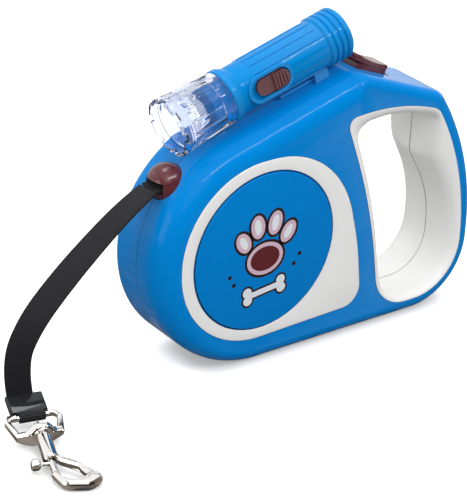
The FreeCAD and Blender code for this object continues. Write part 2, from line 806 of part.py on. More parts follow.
# ---------------------------------------------------------------- brake
def brake_button():
    """The thumb button: a dished head with a lip, a shaft with flanges, and a foot on the lever."""
    half, side = button_long / 2, value_of(button_wide) / 2
    turn = Rotation(Y_AXIS, button_slope.value)

    def spot(x, y, z):
        return Vector((hub_x + button_x).value, y, (hub_z + button_z).value) + turn.multVec(Vector(x, 0, z))

    outline = doc.addObject("Sketcher::SketchObject", "button_outline")
    rounded(outline, corner_cells("button", [
        (-11.5, 3.2, 0.8), (9.6, 0.4, 0.6), (10.4, 4.5, 1.2), (-10.8, 6.6, 1.2),
    ]))
    outline.Placement = Placement(spot(0, side, 0), turn * Rotation(X_AXIS, 90))
    head = extrude("button_head", outline, -Y_AXIS, button_wide)
    doc.recompute()
    rims = [
        (i, 0.7, 0.7)
        for i, e in enumerate(head.Shape.Edges, 1)
        if e.BoundBox.YLength < 1e-6
    ]
    soft = soften_solid("button_soft", head, rims)
    dish = cylinder("button_dish", dish_r, button_wide + 4.0)
    centre = spot(dish_x, -(side + 2.0), dish_z)
    place(dish, centre.x, centre.y, centre.z, X_AXIS, -90.0)
    dished = cut("button_dished", soft, dish)
    shaft = slope_box("button_shaft", (-half, -button_wide / 2, -button_deep), (half, button_wide / 2, 2.4))
    flange = slope_box("button_flange", (-half - 1.5, -7.3, -button_deep), (half + 0.3, 7.3, -4.1))
    foot = slope_box("button_foot", (-3.4, 7.2, -button_deep), (1.2, 11.3, -4.1))
    node("brake_button", fuse("button_whole", [dished, shaft, flange, foot]))


def brake_carrier():
    """The frame that the button rises through, which slides along the casing to lock."""
    frame = slope_box("carrier_frame", (-13.0, -8.6, -4.0), (12.6, 8.6, -2.7))
    hole = slope_box("carrier_hole", (-9.56, -6.06, -6.0), (9.56, 6.06, 0.0))
    node("brake_carrier", cut("carrier_cut", frame, hole))


def brake_lever():
    """The lever that the button turns. Its lower end is the pawl that stops the reel."""
    arm = doc.addObject("Sketcher::SketchObject", "lever_outline")
    rounded(arm, corner_cells("lever", [
        (-3.2, 3.4, 3.0), (20.0, 3.8, 30.0), (36.9, 4.9, 1.9), (36.9, 1.8, 1.1), (16.0, 0.2, 20.0),
        (8.6, -3.0, 4.0), (11.6, -44.0, 12.0), (9.6, -52.4, 1.5), (4.6, -52.3, 0.6),
        (4.6, -48.3, 0.6), (8.2, -44.5, 3.0), (4.8, -16.0, 10.0), (-3.2, -4.2, 3.0),
    ]))
    back = lever_front + lever_thick
    place(arm, hub_x + lever_x, back, hub_z + lever_z, X_AXIS, 90.0)
    bore = hub_rod("lever_hole", pin_r + running, lever_x, lever_z, 0.0, back + 1.0)
    node("brake_lever", cut("lever_bored", half_solid("lever_arm", arm, lever_thick), bore))
    pin_back = 17.0
    node("brake_lever_pin", hub_rod("lever_pin", pin_r, lever_x, lever_z, lever_front - 0.6, pin_back))


def coil(name, wire_r, coil_r, pitch, height):
    """A round-wire coil spring standing on its own XY plane."""
    helix = doc.addObject("Part::Helix", name + "_helix")
    for field, size in (("Pitch", pitch), ("Height", height), ("Radius", coil_r)):
        bind(helix, field, size)
    section = doc.addObject("Part::Circle", name + "_wire")
    bind(section, "Radius", wire_r)
    place(section, coil_r, 0.0, 0.0, X_AXIS, 90.0)
    sweep = doc.addObject("Part::Sweep", name + "_coil")
    sweep.Sections = [section]
    sweep.Spine = (helix, ["Edge1"])
    sweep.Solid = True
    sweep.Frenet = True
    return sweep


def brake_return_spring():
    spring = coil("return", 0.35, 2.8, 1.3, 5.8)
    node("brake_return_spring", place_on_slope(spring, -5.5, 0.0, -11.2))


# ---------------------------------------------------------------- torch
def stand_torch(thing):
    """Lay a thing along the torch: its Z runs from the front rim towards the tail."""
    return place(thing, hub_x + torch_x, 0.0, hub_z + torch_z, Y_AXIS, torch_lean)


def torch_head():
    """The clear head, with notches round its rim and a bearing ring that turns on the neck."""
    body = new_body("torch_head")
    inner_front = head_front_r - head_wall
    inner_back = head_back_r - head_wall
    ring = head_len - 4.5
    turn_profile(body, [
        (head_front_r - 0.6, 0.0), (head_front_r, 0.8), (head_back_r, head_len),
        (neck_r + running, head_len), (neck_r + running, ring), (inner_back, ring - 1.0),
        (inner_front - 0.6, lens_at + lens_thick), (inner_front - 0.4, lens_at), (inner_front, 0.0),
    ])
    notch = body_sketch(body, "rim_notch", "XY_Plane", 0.0)
    polygon(notch, [(11.0, -1.9), (16.0, -1.9), (16.0, 1.9), (11.0, 1.9)])
    polar(body, pocket(body, notch, 2.2, reverse=True), 8)
    flute = body_sketch(body, "flute", "XY_Plane", head_len - 5.0)
    circle(flute, 15.6, 0.0, 2.6)
    polar(body, pocket(body, flute, 16.0), 16)
    stand_torch(body)


def torch_optics():
    """The lens, the reflector and the lamp inside the clear head."""
    lens = new_body("torch_lens")
    edge = head_front_r - head_wall - 0.65
    turn_profile(lens, [
        (0.0, lens_at - 0.9), (edge / 2, lens_at - 0.5), (edge, lens_at + 0.2),
        (edge, lens_at + lens_thick), (0.0, lens_at + lens_thick),
    ])
    stand_torch(lens)
    bowl = new_body("torch_reflector")
    turn_profile(bowl, [
        (3.2, neck_start), (3.2, neck_start - 1.0), (6.6, neck_start - 3.5), (8.4, neck_start - 8.0),
        (9.2, neck_start - 8.0), (7.6, neck_start - 3.0), (5.4, neck_start),
    ])
    stand_torch(bowl)
    lamp = new_body("torch_led")
    turn_profile(lamp, [
        (0.0, neck_start - 5.5), (1.6, neck_start - 5.0), (2.4, neck_start - 3.6),
        (2.4, neck_start + 1.0), (1.2, neck_start + 1.0), (1.2, cell_start - 1.8), (0.0, cell_start - 1.8),
    ])
    stand_torch(lamp)


def ray_plane(distance, degrees):
    """The offset that turns a body's XZ plane about its Z axis and moves it outwards."""
    turn = Rotation(Y_AXIS, degrees)
    return Placement(turn.multVec(Vector(0, 0, value_of(distance))), turn)


def stadium(sketch, middle, length, width):
    """A slot shape along the sketch's Y axis, centred at a height."""
    radius = value_of(width) / 2
    low = value_of(middle) - value_of(length) / 2 + radius
    high = value_of(middle) + value_of(length) / 2 - radius
    first = sketch.GeometryCount
    right_high, left_high = Vector(radius, high, 0), Vector(-radius, high, 0)
    right_low, left_low = Vector(radius, low, 0), Vector(-radius, low, 0)
    sketch.addGeometry(Part.Arc(right_high, Vector(0, high + radius, 0), left_high))
    sketch.addGeometry(Part.LineSegment(left_high, left_low))
    sketch.addGeometry(Part.Arc(left_low, Vector(0, low - radius, 0), right_low))
    sketch.addGeometry(Part.LineSegment(right_low, right_high))
    for i in range(4):
        following = first + (i + 1) % 4
        sketch.addConstraint(Sketcher.Constraint("Tangent", first + i, 2, following, 1))
    set_radius(sketch, first, width / 2)
    pin_point(sketch, first, 3, 0.0, middle + length / 2 - width / 2)
    pin_point(sketch, first + 2, 3, 0.0, middle - length / 2 + width / 2)
    return sketch


def torch_barrel():
    """The ribbed tube, with its collar, neck, cell bore and the switch's sunk seat."""
    body = new_body("torch_barrel")
    turn_profile(body, [
        (0.0, neck_start), (neck_r, neck_start), (neck_r, collar_start), (collar_r - 0.4, collar_start),
        (collar_r, collar_start + 0.6), (collar_r, tube_start - 2.6), (tube_r + 0.3, tube_start),
        (tube_r, tube_start + 0.5), (tube_r, tube_end), (0.0, tube_end),
    ])
    rib = body_sketch(body, "rib", "XY_Plane", rib_start)
    polygon(rib, [(11.0, -0.35), (11.9, -0.22), (11.9, 0.22), (11.0, 0.35)])
    polar(body, pad(body, rib, rib_len), 16)
    across = -switch_turn.value
    rim = body_sketch(body, "switch_rim", "XZ_Plane", ray_plane(9.0, across))
    stadium(rim, switch_mid - switch_travel / 2, switch_len + 7.4, switch_wide + 4.6)
    pad(body, rim, tube_r + 0.6 - 9.0)
    floor = body_sketch(body, "switch_floor", "XZ_Plane", ray_plane(tube_r - 1.5, across))
    stadium(floor, switch_mid - switch_travel / 2, switch_len + 4.0, switch_wide + 2.0)
    pocket(body, floor, 6.0, reverse=True)
    stem = body_sketch(body, "switch_way", "XZ_Plane", ray_plane(5.0, across))
    middle = switch_mid - switch_travel / 2
    polygon(stem, [(-1.7, middle - 5.2), (1.7, middle - 5.2), (1.7, middle + 5.2), (-1.7, middle + 5.2)])
    pocket(body, stem, 8.0, reverse=True)
    bore = body_sketch(body, "cell_bore", "XY_Plane", cell_start - 0.4)
    pocket(body, circle(bore, 0.0, 0.0, tube_bore), 80.0, reverse=True)
    socket = body_sketch(body, "tail_socket", "XY_Plane", socket_start)
    pocket(body, circle(socket, 0.0, 0.0, socket_r), 20.0, reverse=True)
    lamp = body_sketch(body, "lamp_hole", "XY_Plane", neck_start - 1.0)
    pocket(body, circle(lamp, 0.0, 0.0, 2.5), 8.0, reverse=True)
    stand_torch(body)


def torch_inside():
    """The AA cell and the contact strip beside it."""
    battery = new_body("torch_cell")
    nub = cell_start + 1.2
    turn_profile(battery, [
        (0.0, cell_start), (2.7, cell_start), (2.7, nub), (cell_r, nub), (cell_r, cell_start + cell_len),
        (0.0, cell_start + cell_len),
    ])
    stand_torch(battery)
    strip = new_body("torch_contact")
    bar = body_sketch(strip, "contact_bar", "XY_Plane", cell_start)
    polygon(bar, [(-1.2, -7.45), (1.2, -7.45), (1.2, -7.2), (-1.2, -7.2)])
    pad(strip, bar, 50.0)
    stand_torch(strip)
    spring = coil("tail", 0.45, 4.6, 2.0, 9.6)
    node("tail_spring", along_torch(spring, cell_start + cell_len + 0.5))


def along_torch(thing, distance):
    """Stand a thing in the torch at a distance behind its front rim."""
    lean = math.radians(torch_lean.value)
    x = hub_x + torch_x + distance * math.sin(lean)
    return place(thing, x, 0.0, hub_z + torch_z + distance * math.cos(lean), Y_AXIS, torch_lean)


def torch_tail_cap():
    """The cap that closes the tube's tail, ringed with three grooves."""
    body = new_body("torch_tail_cap")
    sleeve = socket_r - running
    start = tube_end + 0.05
    points = [(7.0, socket_start + 0.6), (sleeve, socket_start + 0.6), (sleeve, start), (tube_r, start)]
    for groove in cap_rings:
        points += [
            (cap_r - cap_groove, groove), (cap_r, groove + 0.5), (cap_r, groove + 2.2),
            (cap_r - cap_groove, groove + 2.8),
        ]
    points += [(cap_r - cap_groove, 94.0), (cap_r, 94.5), (cap_r, torch_len - 1.0)]
    points += [(cap_r - 1.0, torch_len), (0.0, torch_len), (0.0, cap_floor), (7.0, cap_floor)]
    turn_profile(body, points)
    stand_torch(body)


def torch_switch():
    """The slide switch: flat towards the head, raised and ribbed towards the tail."""
    body = new_body("torch_switch")
    across = -switch_turn.value
    base = body_sketch(body, "switch_base", "XZ_Plane", ray_plane(tube_r - 1.4, across))
    pad(body, stadium(base, switch_mid, switch_len, switch_wide), 1.9)
    raised = body_sketch(body, "switch_raised", "XZ_Plane", ray_plane(tube_r - 1.4, across))
    pad(body, stadium(raised, switch_mid, switch_len, switch_wide), 2.7)
    flat = body_sketch(body, "switch_flat", "XZ_Plane", ray_plane(tube_r + 0.5, across))
    low, high, wide = switch_mid - switch_len / 2 - 1.0, switch_mid - 0.3, switch_wide / 2 + 1.0
    polygon(flat, [(-wide, low), (wide, low), (wide, high), (-wide, high)])
    pocket(body, flat, 3.0, reverse=True)
    for i in range(5):
        bar = body_sketch(body, "switch_bar%d" % i, "XZ_Plane", ray_plane(tube_r - 0.4, across))
        low = switch_mid + (0.2 + 1.7 * i)
        wide = 3.4 if i < 3 else 2.6
        polygon(bar, [(-wide, low), (wide, low), (wide, low + 0.8), (-wide, low + 0.8)])
        pad(body, bar, 2.2)
    stem = body_sketch(body, "switch_stem", "XZ_Plane", ray_plane(7.9, across))
    polygon(stem, [
        (-1.5, switch_mid - 3.0), (1.5, switch_mid - 3.0), (1.5, switch_mid + 3.0), (-1.5, switch_mid + 3.0),
    ])
    pad(body, stem, 3.0)
    stand_torch(body)


def torch_mount():
    """The T-shaped rail on the casing's slope, and the clip under the tube that grips it."""
    rail = new_body("torch_rail")
    section = body_sketch(rail, "rail_section", "XY_Plane", rail_start)
    neck, head = rail_neck / 2, rail_wide / 2
    step, top = torch_height - 0.95, torch_height - 1.8
    polygon(section, [
        (torch_height, -neck), (torch_height, neck), (step, neck), (step, head), (top, head),
        (top, -head), (step, -head), (step, -neck),
    ])
    pad(rail, section, rail_len)
    stand_torch(rail)
    clip = new_body("torch_clip")
    shape = body_sketch(clip, "clip_section", "XY_Plane", clip_start)
    gap = 0.3
    low, lip, roof = torch_height - 0.25, step + gap, top - gap
    side, inner, mouth = clip_wide / 2, head + gap, neck + gap
    upper = tube_r - 2.3
    polygon(shape, [
        (upper, -side), (low, -side), (low, -mouth), (lip, -mouth), (lip, -inner), (roof, -inner),
        (roof, inner), (lip, inner), (lip, mouth), (low, mouth), (low, side), (upper, side),
    ])
    pad(clip, shape, clip_len)
    tube = body_sketch(clip, "clip_seat", "XY_Plane", clip_start - 4.0)
    pocket(clip, circle(tube, 0.0, 0.0, tube_r + 0.42), clip_len + 8.0, reverse=True)
    stand_torch(clip)


# ---------------------------------------------------------------- screws
def casing_screws():
    """Six screws from the rear, their heads sunk in the rear shell."""
    screws = []
    for i, (x, z) in enumerate(screw_spots, 1):
        shank = hub_rod("screw_shank%d" % i, screw_r, x, z, -11.5, screw_seat)
        head = hub_rod("screw_head%d" % i, screw_head_r, x, z, screw_seat, screw_seat + 1.8)
        cross = [
            hub_box("screw_cross%d%s" % (i, turn), x, z, screw_seat + 0.7, wide, high)
            for turn, wide, high in (("a", 3.4, 0.7), ("b", 0.7, 3.4))
        ]
        whole = fuse("screw_solid%d" % i, [shank, head])
        screws.append(cut("screw%d" % i, whole, fuse("screw_crossed%d" % i, cross)))
    node("casing_screws", group(screws, "screw_set"))


def hub_box(name, x, z, front, wide, high):
    """A small block behind a depth, centred at a place measured from the reel centre."""
    block = doc.addObject("Part::Box", name)
    bind(block, "Length", wide)
    bind(block, "Width", 4.0)
    bind(block, "Height", high)
    return place(block, hub_x + x - wide / 2, front, hub_z + z - high / 2)


# ---------------------------------------------------------------- tape outside the casing
def leash_tape():
    """The free tape: straight runs joined by arcs in one upright plane, as wide as the tape."""
    hub = Vector(hub_x.value, 0, hub_z.value)
    spots = [hub + Vector(*point) for point in route]
    across = (spots[-1] - spots[0]).cross(Z_AXIS).normalize()
    spots = [p - across * (p - spots[0]).dot(across) for p in spots]
    runs = [(b - a) for a, b in zip(spots, spots[1:])]
    bends = []
    for before, after, spot in zip(runs, runs[1:], spots[1:]):
        turn = before.getAngle(after)
        reach = 0.45 * min(before.Length, after.Length)
        directions = Vector(before).normalize(), Vector(after).normalize()
        bends.append((spot, *directions, reach, reach / math.tan(turn / 2), turn))
    print("tape bend radii", [round(bend[4], 1) for bend in bends])
    half = tape_thick.value / 2
    length = sum((b - a).Length for a, b in zip(spots, spots[1:]))
    length += sum(r * turn - 2 * reach for _, _, _, reach, r, turn in bends)
    sides = [tape_side(spots, bends, across, side * half) for side in (1, -1)]
    ends = [
        Part.makeLine(sides[0][i].Vertexes[j].Point, sides[1][i].Vertexes[j].Point)
        for i, j in ((0, 0), (-1, -1))
    ]
    face = Part.Face(Part.Wire(Part.__sortEdges__(sides[0] + sides[1] + ends)))
    solid = face.extrude(across * tape_wide.value)
    expected = tape_wide.value * tape_thick.value * length
    if abs(solid.Volume - expected) > 0.002 * expected:
        raise RuntimeError("the tape's volume is %.1f, not %.1f" % (solid.Volume, expected))
    print("free tape length", round(length, 1))
    thing = doc.addObject("Part::Feature", "tape_solid")
    thing.Shape = solid
    thing.Placement = Placement(across * (-tape_wide.value / 2), Rotation())
    node("leash_tape", thing)


def tape_side(spots, bends, across, shift):
    """One face of the tape as seen from its edge: the route moved sideways by a shift."""
    edges = []
    last = spots[0] + bends[0][1].cross(across) * shift
    for spot, before, after, reach, radius, turn in bends:
        start = spot - before * reach + before.cross(across) * shift
        end = spot + after * reach + after.cross(across) * shift
        inward = (after - before).normalize()
        centre = spot + inward * (radius / math.cos(turn / 2))
        middle_radius = (start - centre).Length
        middle = centre - inward * middle_radius
        edges.append(Part.makeLine(last, start))
        edges.append(Part.Arc(start, middle, end).toShape())
        last = end
    finish = spots[-1] + bends[-1][2].cross(across) * shift
    edges.append(Part.makeLine(last, finish))
    return edges


# ---------------------------------------------------------------- end fittings
def turned_place(thing, x, y, z, yaw, roll):
    """Place a thing turned about the vertical and then tipped about its own X axis."""
    lie = Rotation(Z_AXIS, yaw) * Rotation(X_AXIS, roll)
    place(thing, x, y, z, lie.Axis, math.degrees(lie.Angle))
    return thing


def tape_keeper():
    """The folded keeper that clamps the tape's end, with the way for its two layers."""
    body = new_body("tape_keeper")
    outline = body_sketch(body, "keeper_outline", "XY_Plane")
    half, reach = keeper_wide / 2, keeper_long / 2
    rounded(outline, [
        (-half, -reach, 0.6), (half, -reach, 0.6), (half, reach, 1.2), (-half, reach, 1.2),
    ])
    pad(body, outline, keeper_thick, middle=True)
    way = body_sketch(body, "keeper_way", "XZ_Plane")
    wide = tape_wide / 2 + 0.3
    polygon(way, [(-wide, -0.65), (wide, -0.65), (wide, 0.65), (-wide, 0.65)])
    pocket(body, way, 3.0, reverse=False)
    return turned_place(body, keeper_x, keeper_y, keeper_z, -15.0, 20.0)


def tape_loop():
    """The tape's end, turned round the eye's bar and back into the keeper."""
    body = new_body("tape_loop")
    ring = body_sketch(body, "loop_outline", "YZ_Plane")
    outer = bar_r + 0.4 + 1.0
    inner = bar_r + 0.4
    rounded(ring, [(-outer, -outer, 2.5), (3.1, -1.3, 0.3), (3.1, 1.3, 0.3), (-outer, outer, 2.5)])
    pad(body, ring, tape_wide, middle=True)
    hole = body_sketch(body, "loop_hole", "YZ_Plane")
    circle(hole, 0.0, 0.0, inner)
    pocket(body, hole, middle=True)
    return turned_place(body, eye_x, eye_y, eye_z, -14.0, 14.0)


def snap_swivel_eye():
    """The eye: a round bar, two arms, and a front band with the swivel's collar."""
    body = new_body("snap_swivel_eye")
    bar = body_sketch(body, "eye_bar", "YZ_Plane")
    pad(body, circle(bar, 0.0, 0.0, bar_r), 21.0, middle=True)
    frame = body_sketch(body, "eye_frame", "XY_Plane")
    polygon(frame, [
        (-11.3, 1.3), (-9.6, 1.3), (-10.6, -2.0), (-8.5, -9.2), (8.5, -9.2), (10.6, -2.0), (9.6, 1.3),
        (11.3, 1.3), (13.2, -2.2), (10.9, -12.3), (-10.9, -12.3), (-13.2, -2.2),
    ])
    pad(body, frame, 2.8, middle=True)
    skirt = body_sketch(body, "eye_skirt", "XZ_Plane", 9.3)
    polygon(skirt, [(-10.7, -1.4), (10.7, -1.4), (9.8, -2.6), (3.6, -5.4), (-3.6, -5.4), (-9.8, -2.6)])
    pad(body, skirt, 2.8)
    collar = body_sketch(body, "eye_collar", "XZ_Plane", 8.9)
    pad(body, circle(collar, 0.8, 0.6, collar_out), 3.2)
    hole = body_sketch(body, "eye_hole", "XZ_Plane", 8.0)
    pocket(body, circle(hole, 0.8, 0.6, hook_neck + 0.85), 6.0, reverse=True)
    return turned_place(body, eye_x, eye_y, eye_z, -13.0, 15.0)


def snap_hook_body():
    """The hook: neck and barrel turned in one, and the open hook that the bolt closes."""
    body = new_body("snap_hook_body")
    barrel = polygon(body_sketch(body, "hook_barrel", "XY_Plane"), [
        (0.0, 4.2), (3.1, 4.2), (3.1, 2.9), (hook_neck, 2.6), (hook_neck, -2.4), (barrel_r - 0.5, -2.6),
        (barrel_r, -3.2), (barrel_r, -20.3), (barrel_r - 0.6, -barrel_end), (0.0, -barrel_end),
    ])
    turned = body.newObject("PartDesign::Revolution", "barrel_turned")
    turned.Profile = barrel
    turned.ReferenceAxis = (barrel, ["V_Axis"])
    turned.Angle = 360.0
    settle(body, turned)
    loop = body_sketch(body, "hook_loop", "XY_Plane")
    rounded(loop, corner_cells("hook", [
        (1.9, -18.0, 0.8), (3.6, -18.8, 1.5), (13.4, -28.4, 20.0), (20.4, -36.9, 3.2), (13.2, -41.9, 6.5),
        (1.4, -40.0, 6.0), (-2.3, -30.3, 0.8), (1.5, -29.7, 0.8), (2.2, -34.2, 2.5),
        (7.6, -37.4, 3.0), (12.6, -34.4, 2.2), (10.0, -27.4, 4.0), (3.0, -22.4, 1.5),
        (1.9, -20.6, 0.6),
    ]))
    pad(body, loop, hook_thick, middle=True)
    bore = body_sketch(body, "bolt_bore", "XZ_Plane", 9.0)
    pocket(body, circle(bore, 0.0, 0.0, bolt_r + running), 13.0, reverse=True)
    slot = body_sketch(body, "knob_slot", "YZ_Plane", 0.0)
    polygon(slot, [(-23.5, -0.95), (-14.6, -0.95), (-14.6, 0.95), (-23.5, 0.95)])
    pocket(body, slot, 6.0, reverse=False)
    return turned_place(body, hook_x, hook_y, hook_z, hook_yaw, hook_roll)


def snap_bolt():
    """The spring bolt that closes the hook, with the thumb knob on its side."""
    body = new_body("snap_bolt")
    rod = body_sketch(body, "bolt_rod", "XZ_Plane", bolt_back)
    pad(body, circle(rod, 0.0, 0.0, bolt_r), 29.5 - bolt_back)
    stem = body_sketch(body, "knob_stem", "YZ_Plane", 0.0)
    pad(body, circle(stem, knob_y, 0.0, 0.8), knob_out + 0.8, reverse=True)
    knob = body_sketch(body, "knob_top", "YZ_Plane", -(knob_out + knob_long))
    pad(body, circle(knob, knob_y, 0.0, knob_r), knob_long)
    rim_length = 2 * math.pi * (knob_r.value - 0.1)
    soften(body, lambda e: e.Length > rim_length and e.BoundBox.XLength < 0.1, 0.7)
    return turned_place(body, hook_x, hook_y, hook_z, hook_yaw, hook_roll)


def snap_spring():
    """The bolt's spring, in the barrel behind the bolt."""
    spring = coil("bolt", 0.22, 1.15, 0.9, 5.2)
    lie = Rotation(Z_AXIS, hook_yaw) * Rotation(X_AXIS, hook_roll)
    start = Vector(hook_x.value, hook_y.value, hook_z.value)
    start += lie.multVec(Vector(0, 0.3 - bolt_back.value, 0))
    spring.Placement = Placement(start, lie * Rotation(X_AXIS, -90))
    node("snap_spring", spring)


# ---------------------------------------------------------------- the whole leash
def main():
    for make in (
        front_shell, rear_shell, side_trim, grip_liners, leash_nozzle, reel, reel_axle, mainspring,
        reel_inside, tape_feed, brake_button, brake_carrier, brake_lever, brake_return_spring,
        torch_head, torch_optics, torch_barrel, torch_inside, torch_tail_cap, torch_switch,
        torch_mount, casing_screws, leash_tape, tape_keeper, tape_loop, snap_swivel_eye,
        snap_hook_body, snap_bolt, snap_spring,
    ):
        make()
    doc.recompute()
    failed = [o.Name for o in doc.Objects if "Invalid" in o.State or "Error" in o.State]
    if failed:
        raise RuntimeError("these failed: %s" % ", ".join(failed))
    os.makedirs("parts", exist_ok=True)
    for thing in nodes:
        shape = thing.Shape
        if shape.isNull() or not shape.isValid() or not shape.Solids:
            raise RuntimeError("%s has no valid solid" % thing.Label)
        shape.exportStep("parts/%s.step" % thing.Label)
    print(len(nodes), "nodes written")


main()
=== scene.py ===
"""Looks of the retractable leash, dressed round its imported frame."""
import json
import math

import bmesh
import bpy
from mathutils import Matrix, Vector


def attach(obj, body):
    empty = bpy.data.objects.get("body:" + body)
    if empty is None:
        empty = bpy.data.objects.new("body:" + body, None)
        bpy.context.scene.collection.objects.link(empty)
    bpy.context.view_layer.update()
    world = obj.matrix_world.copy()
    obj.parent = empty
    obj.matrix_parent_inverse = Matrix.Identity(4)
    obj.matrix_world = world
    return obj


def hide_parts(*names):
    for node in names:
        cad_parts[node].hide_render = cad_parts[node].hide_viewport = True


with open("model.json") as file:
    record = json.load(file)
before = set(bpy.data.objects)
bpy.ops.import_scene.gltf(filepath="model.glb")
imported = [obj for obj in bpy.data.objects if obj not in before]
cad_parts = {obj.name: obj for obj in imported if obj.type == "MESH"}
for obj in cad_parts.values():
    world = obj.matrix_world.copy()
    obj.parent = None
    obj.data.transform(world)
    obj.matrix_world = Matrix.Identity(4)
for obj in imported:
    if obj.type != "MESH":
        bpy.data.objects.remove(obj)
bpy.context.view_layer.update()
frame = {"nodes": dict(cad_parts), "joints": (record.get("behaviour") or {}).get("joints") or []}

MM = 0.001
joints = {joint["name"]: joint for joint in frame["joints"]}
REEL = Vector(joints["reel_spin"]["pos_m"])


def from_reel(x, y, z):
    """A place in metres, given in millimetres from the middle of the reel."""
    return REEL + Vector((x, y, z)) * MM


# ---------------------------------------------------------------- camera
VIEW_TURN = math.radians(-37.576)
VIEW_RISE = math.radians(26.741)
VIEW_ROLL = math.radians(2.965)
VIEW_DISTANCE = 1.1193
VIEW_AIM = Vector((-0.0303, 0.0096, 0.0437))
LENS = 185.0
SENSOR_WIDE = 36.0


def place_camera():
    """A long lens, above the part and to its front left."""
    data = bpy.data.cameras.new("camera")
    data.lens = LENS
    data.sensor_fit = "HORIZONTAL"
    data.sensor_width = SENSOR_WIDE
    camera = bpy.data.objects.new("camera", data)
    bpy.context.scene.collection.objects.link(camera)
    turn = Matrix.Rotation(VIEW_TURN, 3, "Z")
    turn = turn @ Matrix.Rotation(math.pi / 2 - VIEW_RISE, 3, "X")
    turn = turn @ Matrix.Rotation(VIEW_ROLL, 3, "Z")
    camera.matrix_world = turn.to_4x4()
    camera.location = VIEW_AIM + turn.col[2] * VIEW_DISTANCE
    bpy.context.scene.camera = camera
    return camera


camera = place_camera()


# ---------------------------------------------------------------- shader groups
class Graph:
    """Short ways to add nodes to a tree and join them."""

    def __init__(self, tree):
        self.tree = tree

    def add(self, kind, prefix="ShaderNode", **settings):
        made = self.tree.nodes.new(prefix + kind)
        for name, value in settings.items():
            setattr(made, name, value)
        return made

    def join(self, output, node, socket):
        self.tree.links.new(output, node.inputs[socket])
        return node

    def mix(self, factor, first, second):
        node = self.add("Mix", data_type="RGBA")
        for socket, value in ((0, factor), (6, first), (7, second)):
            self.feed(node, socket, value)
        return node.outputs[2]

    def sum(self, operation, first, second):
        node = self.add("Math", operation=operation)
        self.feed(node, 0, first)
        self.feed(node, 1, second)
        return node.outputs[0]

    def range(self, value, low, high, to_low, to_high):
        node = self.add("MapRange")
        self.feed(node, 0, value)
        for socket, number in ((1, low), (2, high), (3, to_low), (4, to_high)):
            self.feed(node, socket, number)
        return node.outputs[0]

    def feed(self, node, socket, value):
        if isinstance(value, bpy.types.NodeSocket):
            self.tree.links.new(value, node.inputs[socket])
        else:
            node.inputs[socket].default_value = value

    def noise(self, where, scale, detail=3.0, roughness=0.5):
        node = self.add("TexNoise")
        self.feed(node, "Vector", where)
        node.inputs["Scale"].default_value = scale
        node.inputs["Detail"].default_value = detail
        node.inputs["Roughness"].default_value = roughness
        return node.outputs["Fac"]


def new_group(name, inputs, outputs):
    """A node group with named sockets, and the means to fill it."""
    group = bpy.data.node_groups.new(name, "ShaderNodeTree")
    for socket, kind, value in inputs:
        kind = "NodeSocket" + kind
        made = group.interface.new_socket(socket, in_out="INPUT", socket_type=kind)
        made.default_value = value
    for socket, kind in outputs:
        kind = "NodeSocket" + kind
        group.interface.new_socket(socket, in_out="OUTPUT", socket_type=kind)
    graph = Graph(group)
    given, out = graph.add("GroupInput", "Node"), graph.add("GroupOutput", "Node")
    return group, graph, given.outputs, out


def moulded_group():
    """Moulded plastic: faint mottling, orange peel, fine scuffs, and paler edges that are partly
    rubbed wear and partly a painted highlight.
    """
    group, graph, given, out = new_group(
        "moulded_surface",
        [
            ("Color", "Color", (0.5, 0.5, 0.5, 1)), ("Mottle", "Float", 0.04),
            ("Gloss", "Float", 0.2), ("Scuffs", "Float", 0.06), ("Peel", "Float", 0.02),
            ("Peel Size", "Float", 900.0), ("Rub", "Float", 0.15),
        ],
        [("Color", "Color"), ("Roughness", "Float"), ("Normal", "Vector")],
    )
    where = graph.add("TexCoord").outputs["Object"]
    broad = graph.noise(where, 35.0, 4.0)
    fine = graph.noise(where, 1400.0, 2.0)
    shade = graph.range(broad, 0.3, 0.7, graph.sum("SUBTRACT", 1.0, given["Mottle"]), 1.0)
    tone = graph.add("HueSaturation")
    graph.feed(tone, "Value", shade)
    graph.feed(tone, "Color", given["Color"])
    # Convex edges are painted paler: partly rubbed wear, partly a painted highlight along them.
    edge = graph.add("NewGeometry").outputs["Pointiness"]
    rubbed_and_highlit = graph.sum("MULTIPLY", graph.range(edge, 0.52, 0.62, 0.0, 1.0), given["Rub"])
    paler = graph.mix(rubbed_and_highlit, tone.outputs[0], (0.9, 0.93, 0.95, 1))
    graph.join(paler, out, "Color")
    scratch_map = graph.add("Mapping")
    graph.join(where, scratch_map, "Vector")
    scratch_map.inputs["Rotation"].default_value = (0.3, 0.9, 0.5)
    scratch_map.inputs["Scale"].default_value = (1.0, 14.0, 6.0)
    scratches = graph.noise(scratch_map.outputs[0], 260.0, 2.0, 0.6)
    scuffed = graph.sum("MULTIPLY", graph.range(scratches, 0.62, 0.75, 0.0, 1.0), given["Scuffs"])
    smudged = graph.sum("MULTIPLY", graph.range(broad, 0.45, 0.75, 0.0, 1.0), given["Scuffs"])
    rough = graph.sum("ADD", given["Gloss"], graph.sum("ADD", scuffed, smudged))
    graph.join(rough, out, "Roughness")
    peel = graph.add("TexNoise")
    graph.join(where, peel, "Vector")
    graph.join(given["Peel Size"], peel, "Scale")
    height = graph.sum("ADD", peel.outputs["Fac"], graph.sum("MULTIPLY", fine, 0.15))
    bump = graph.add("Bump")
    bump.inputs["Distance"].default_value = 0.0004
    graph.join(given["Peel"], bump, "Strength")
    graph.join(height, bump, "Height")
    graph.join(bump.outputs[0], out, "Normal")
    return group


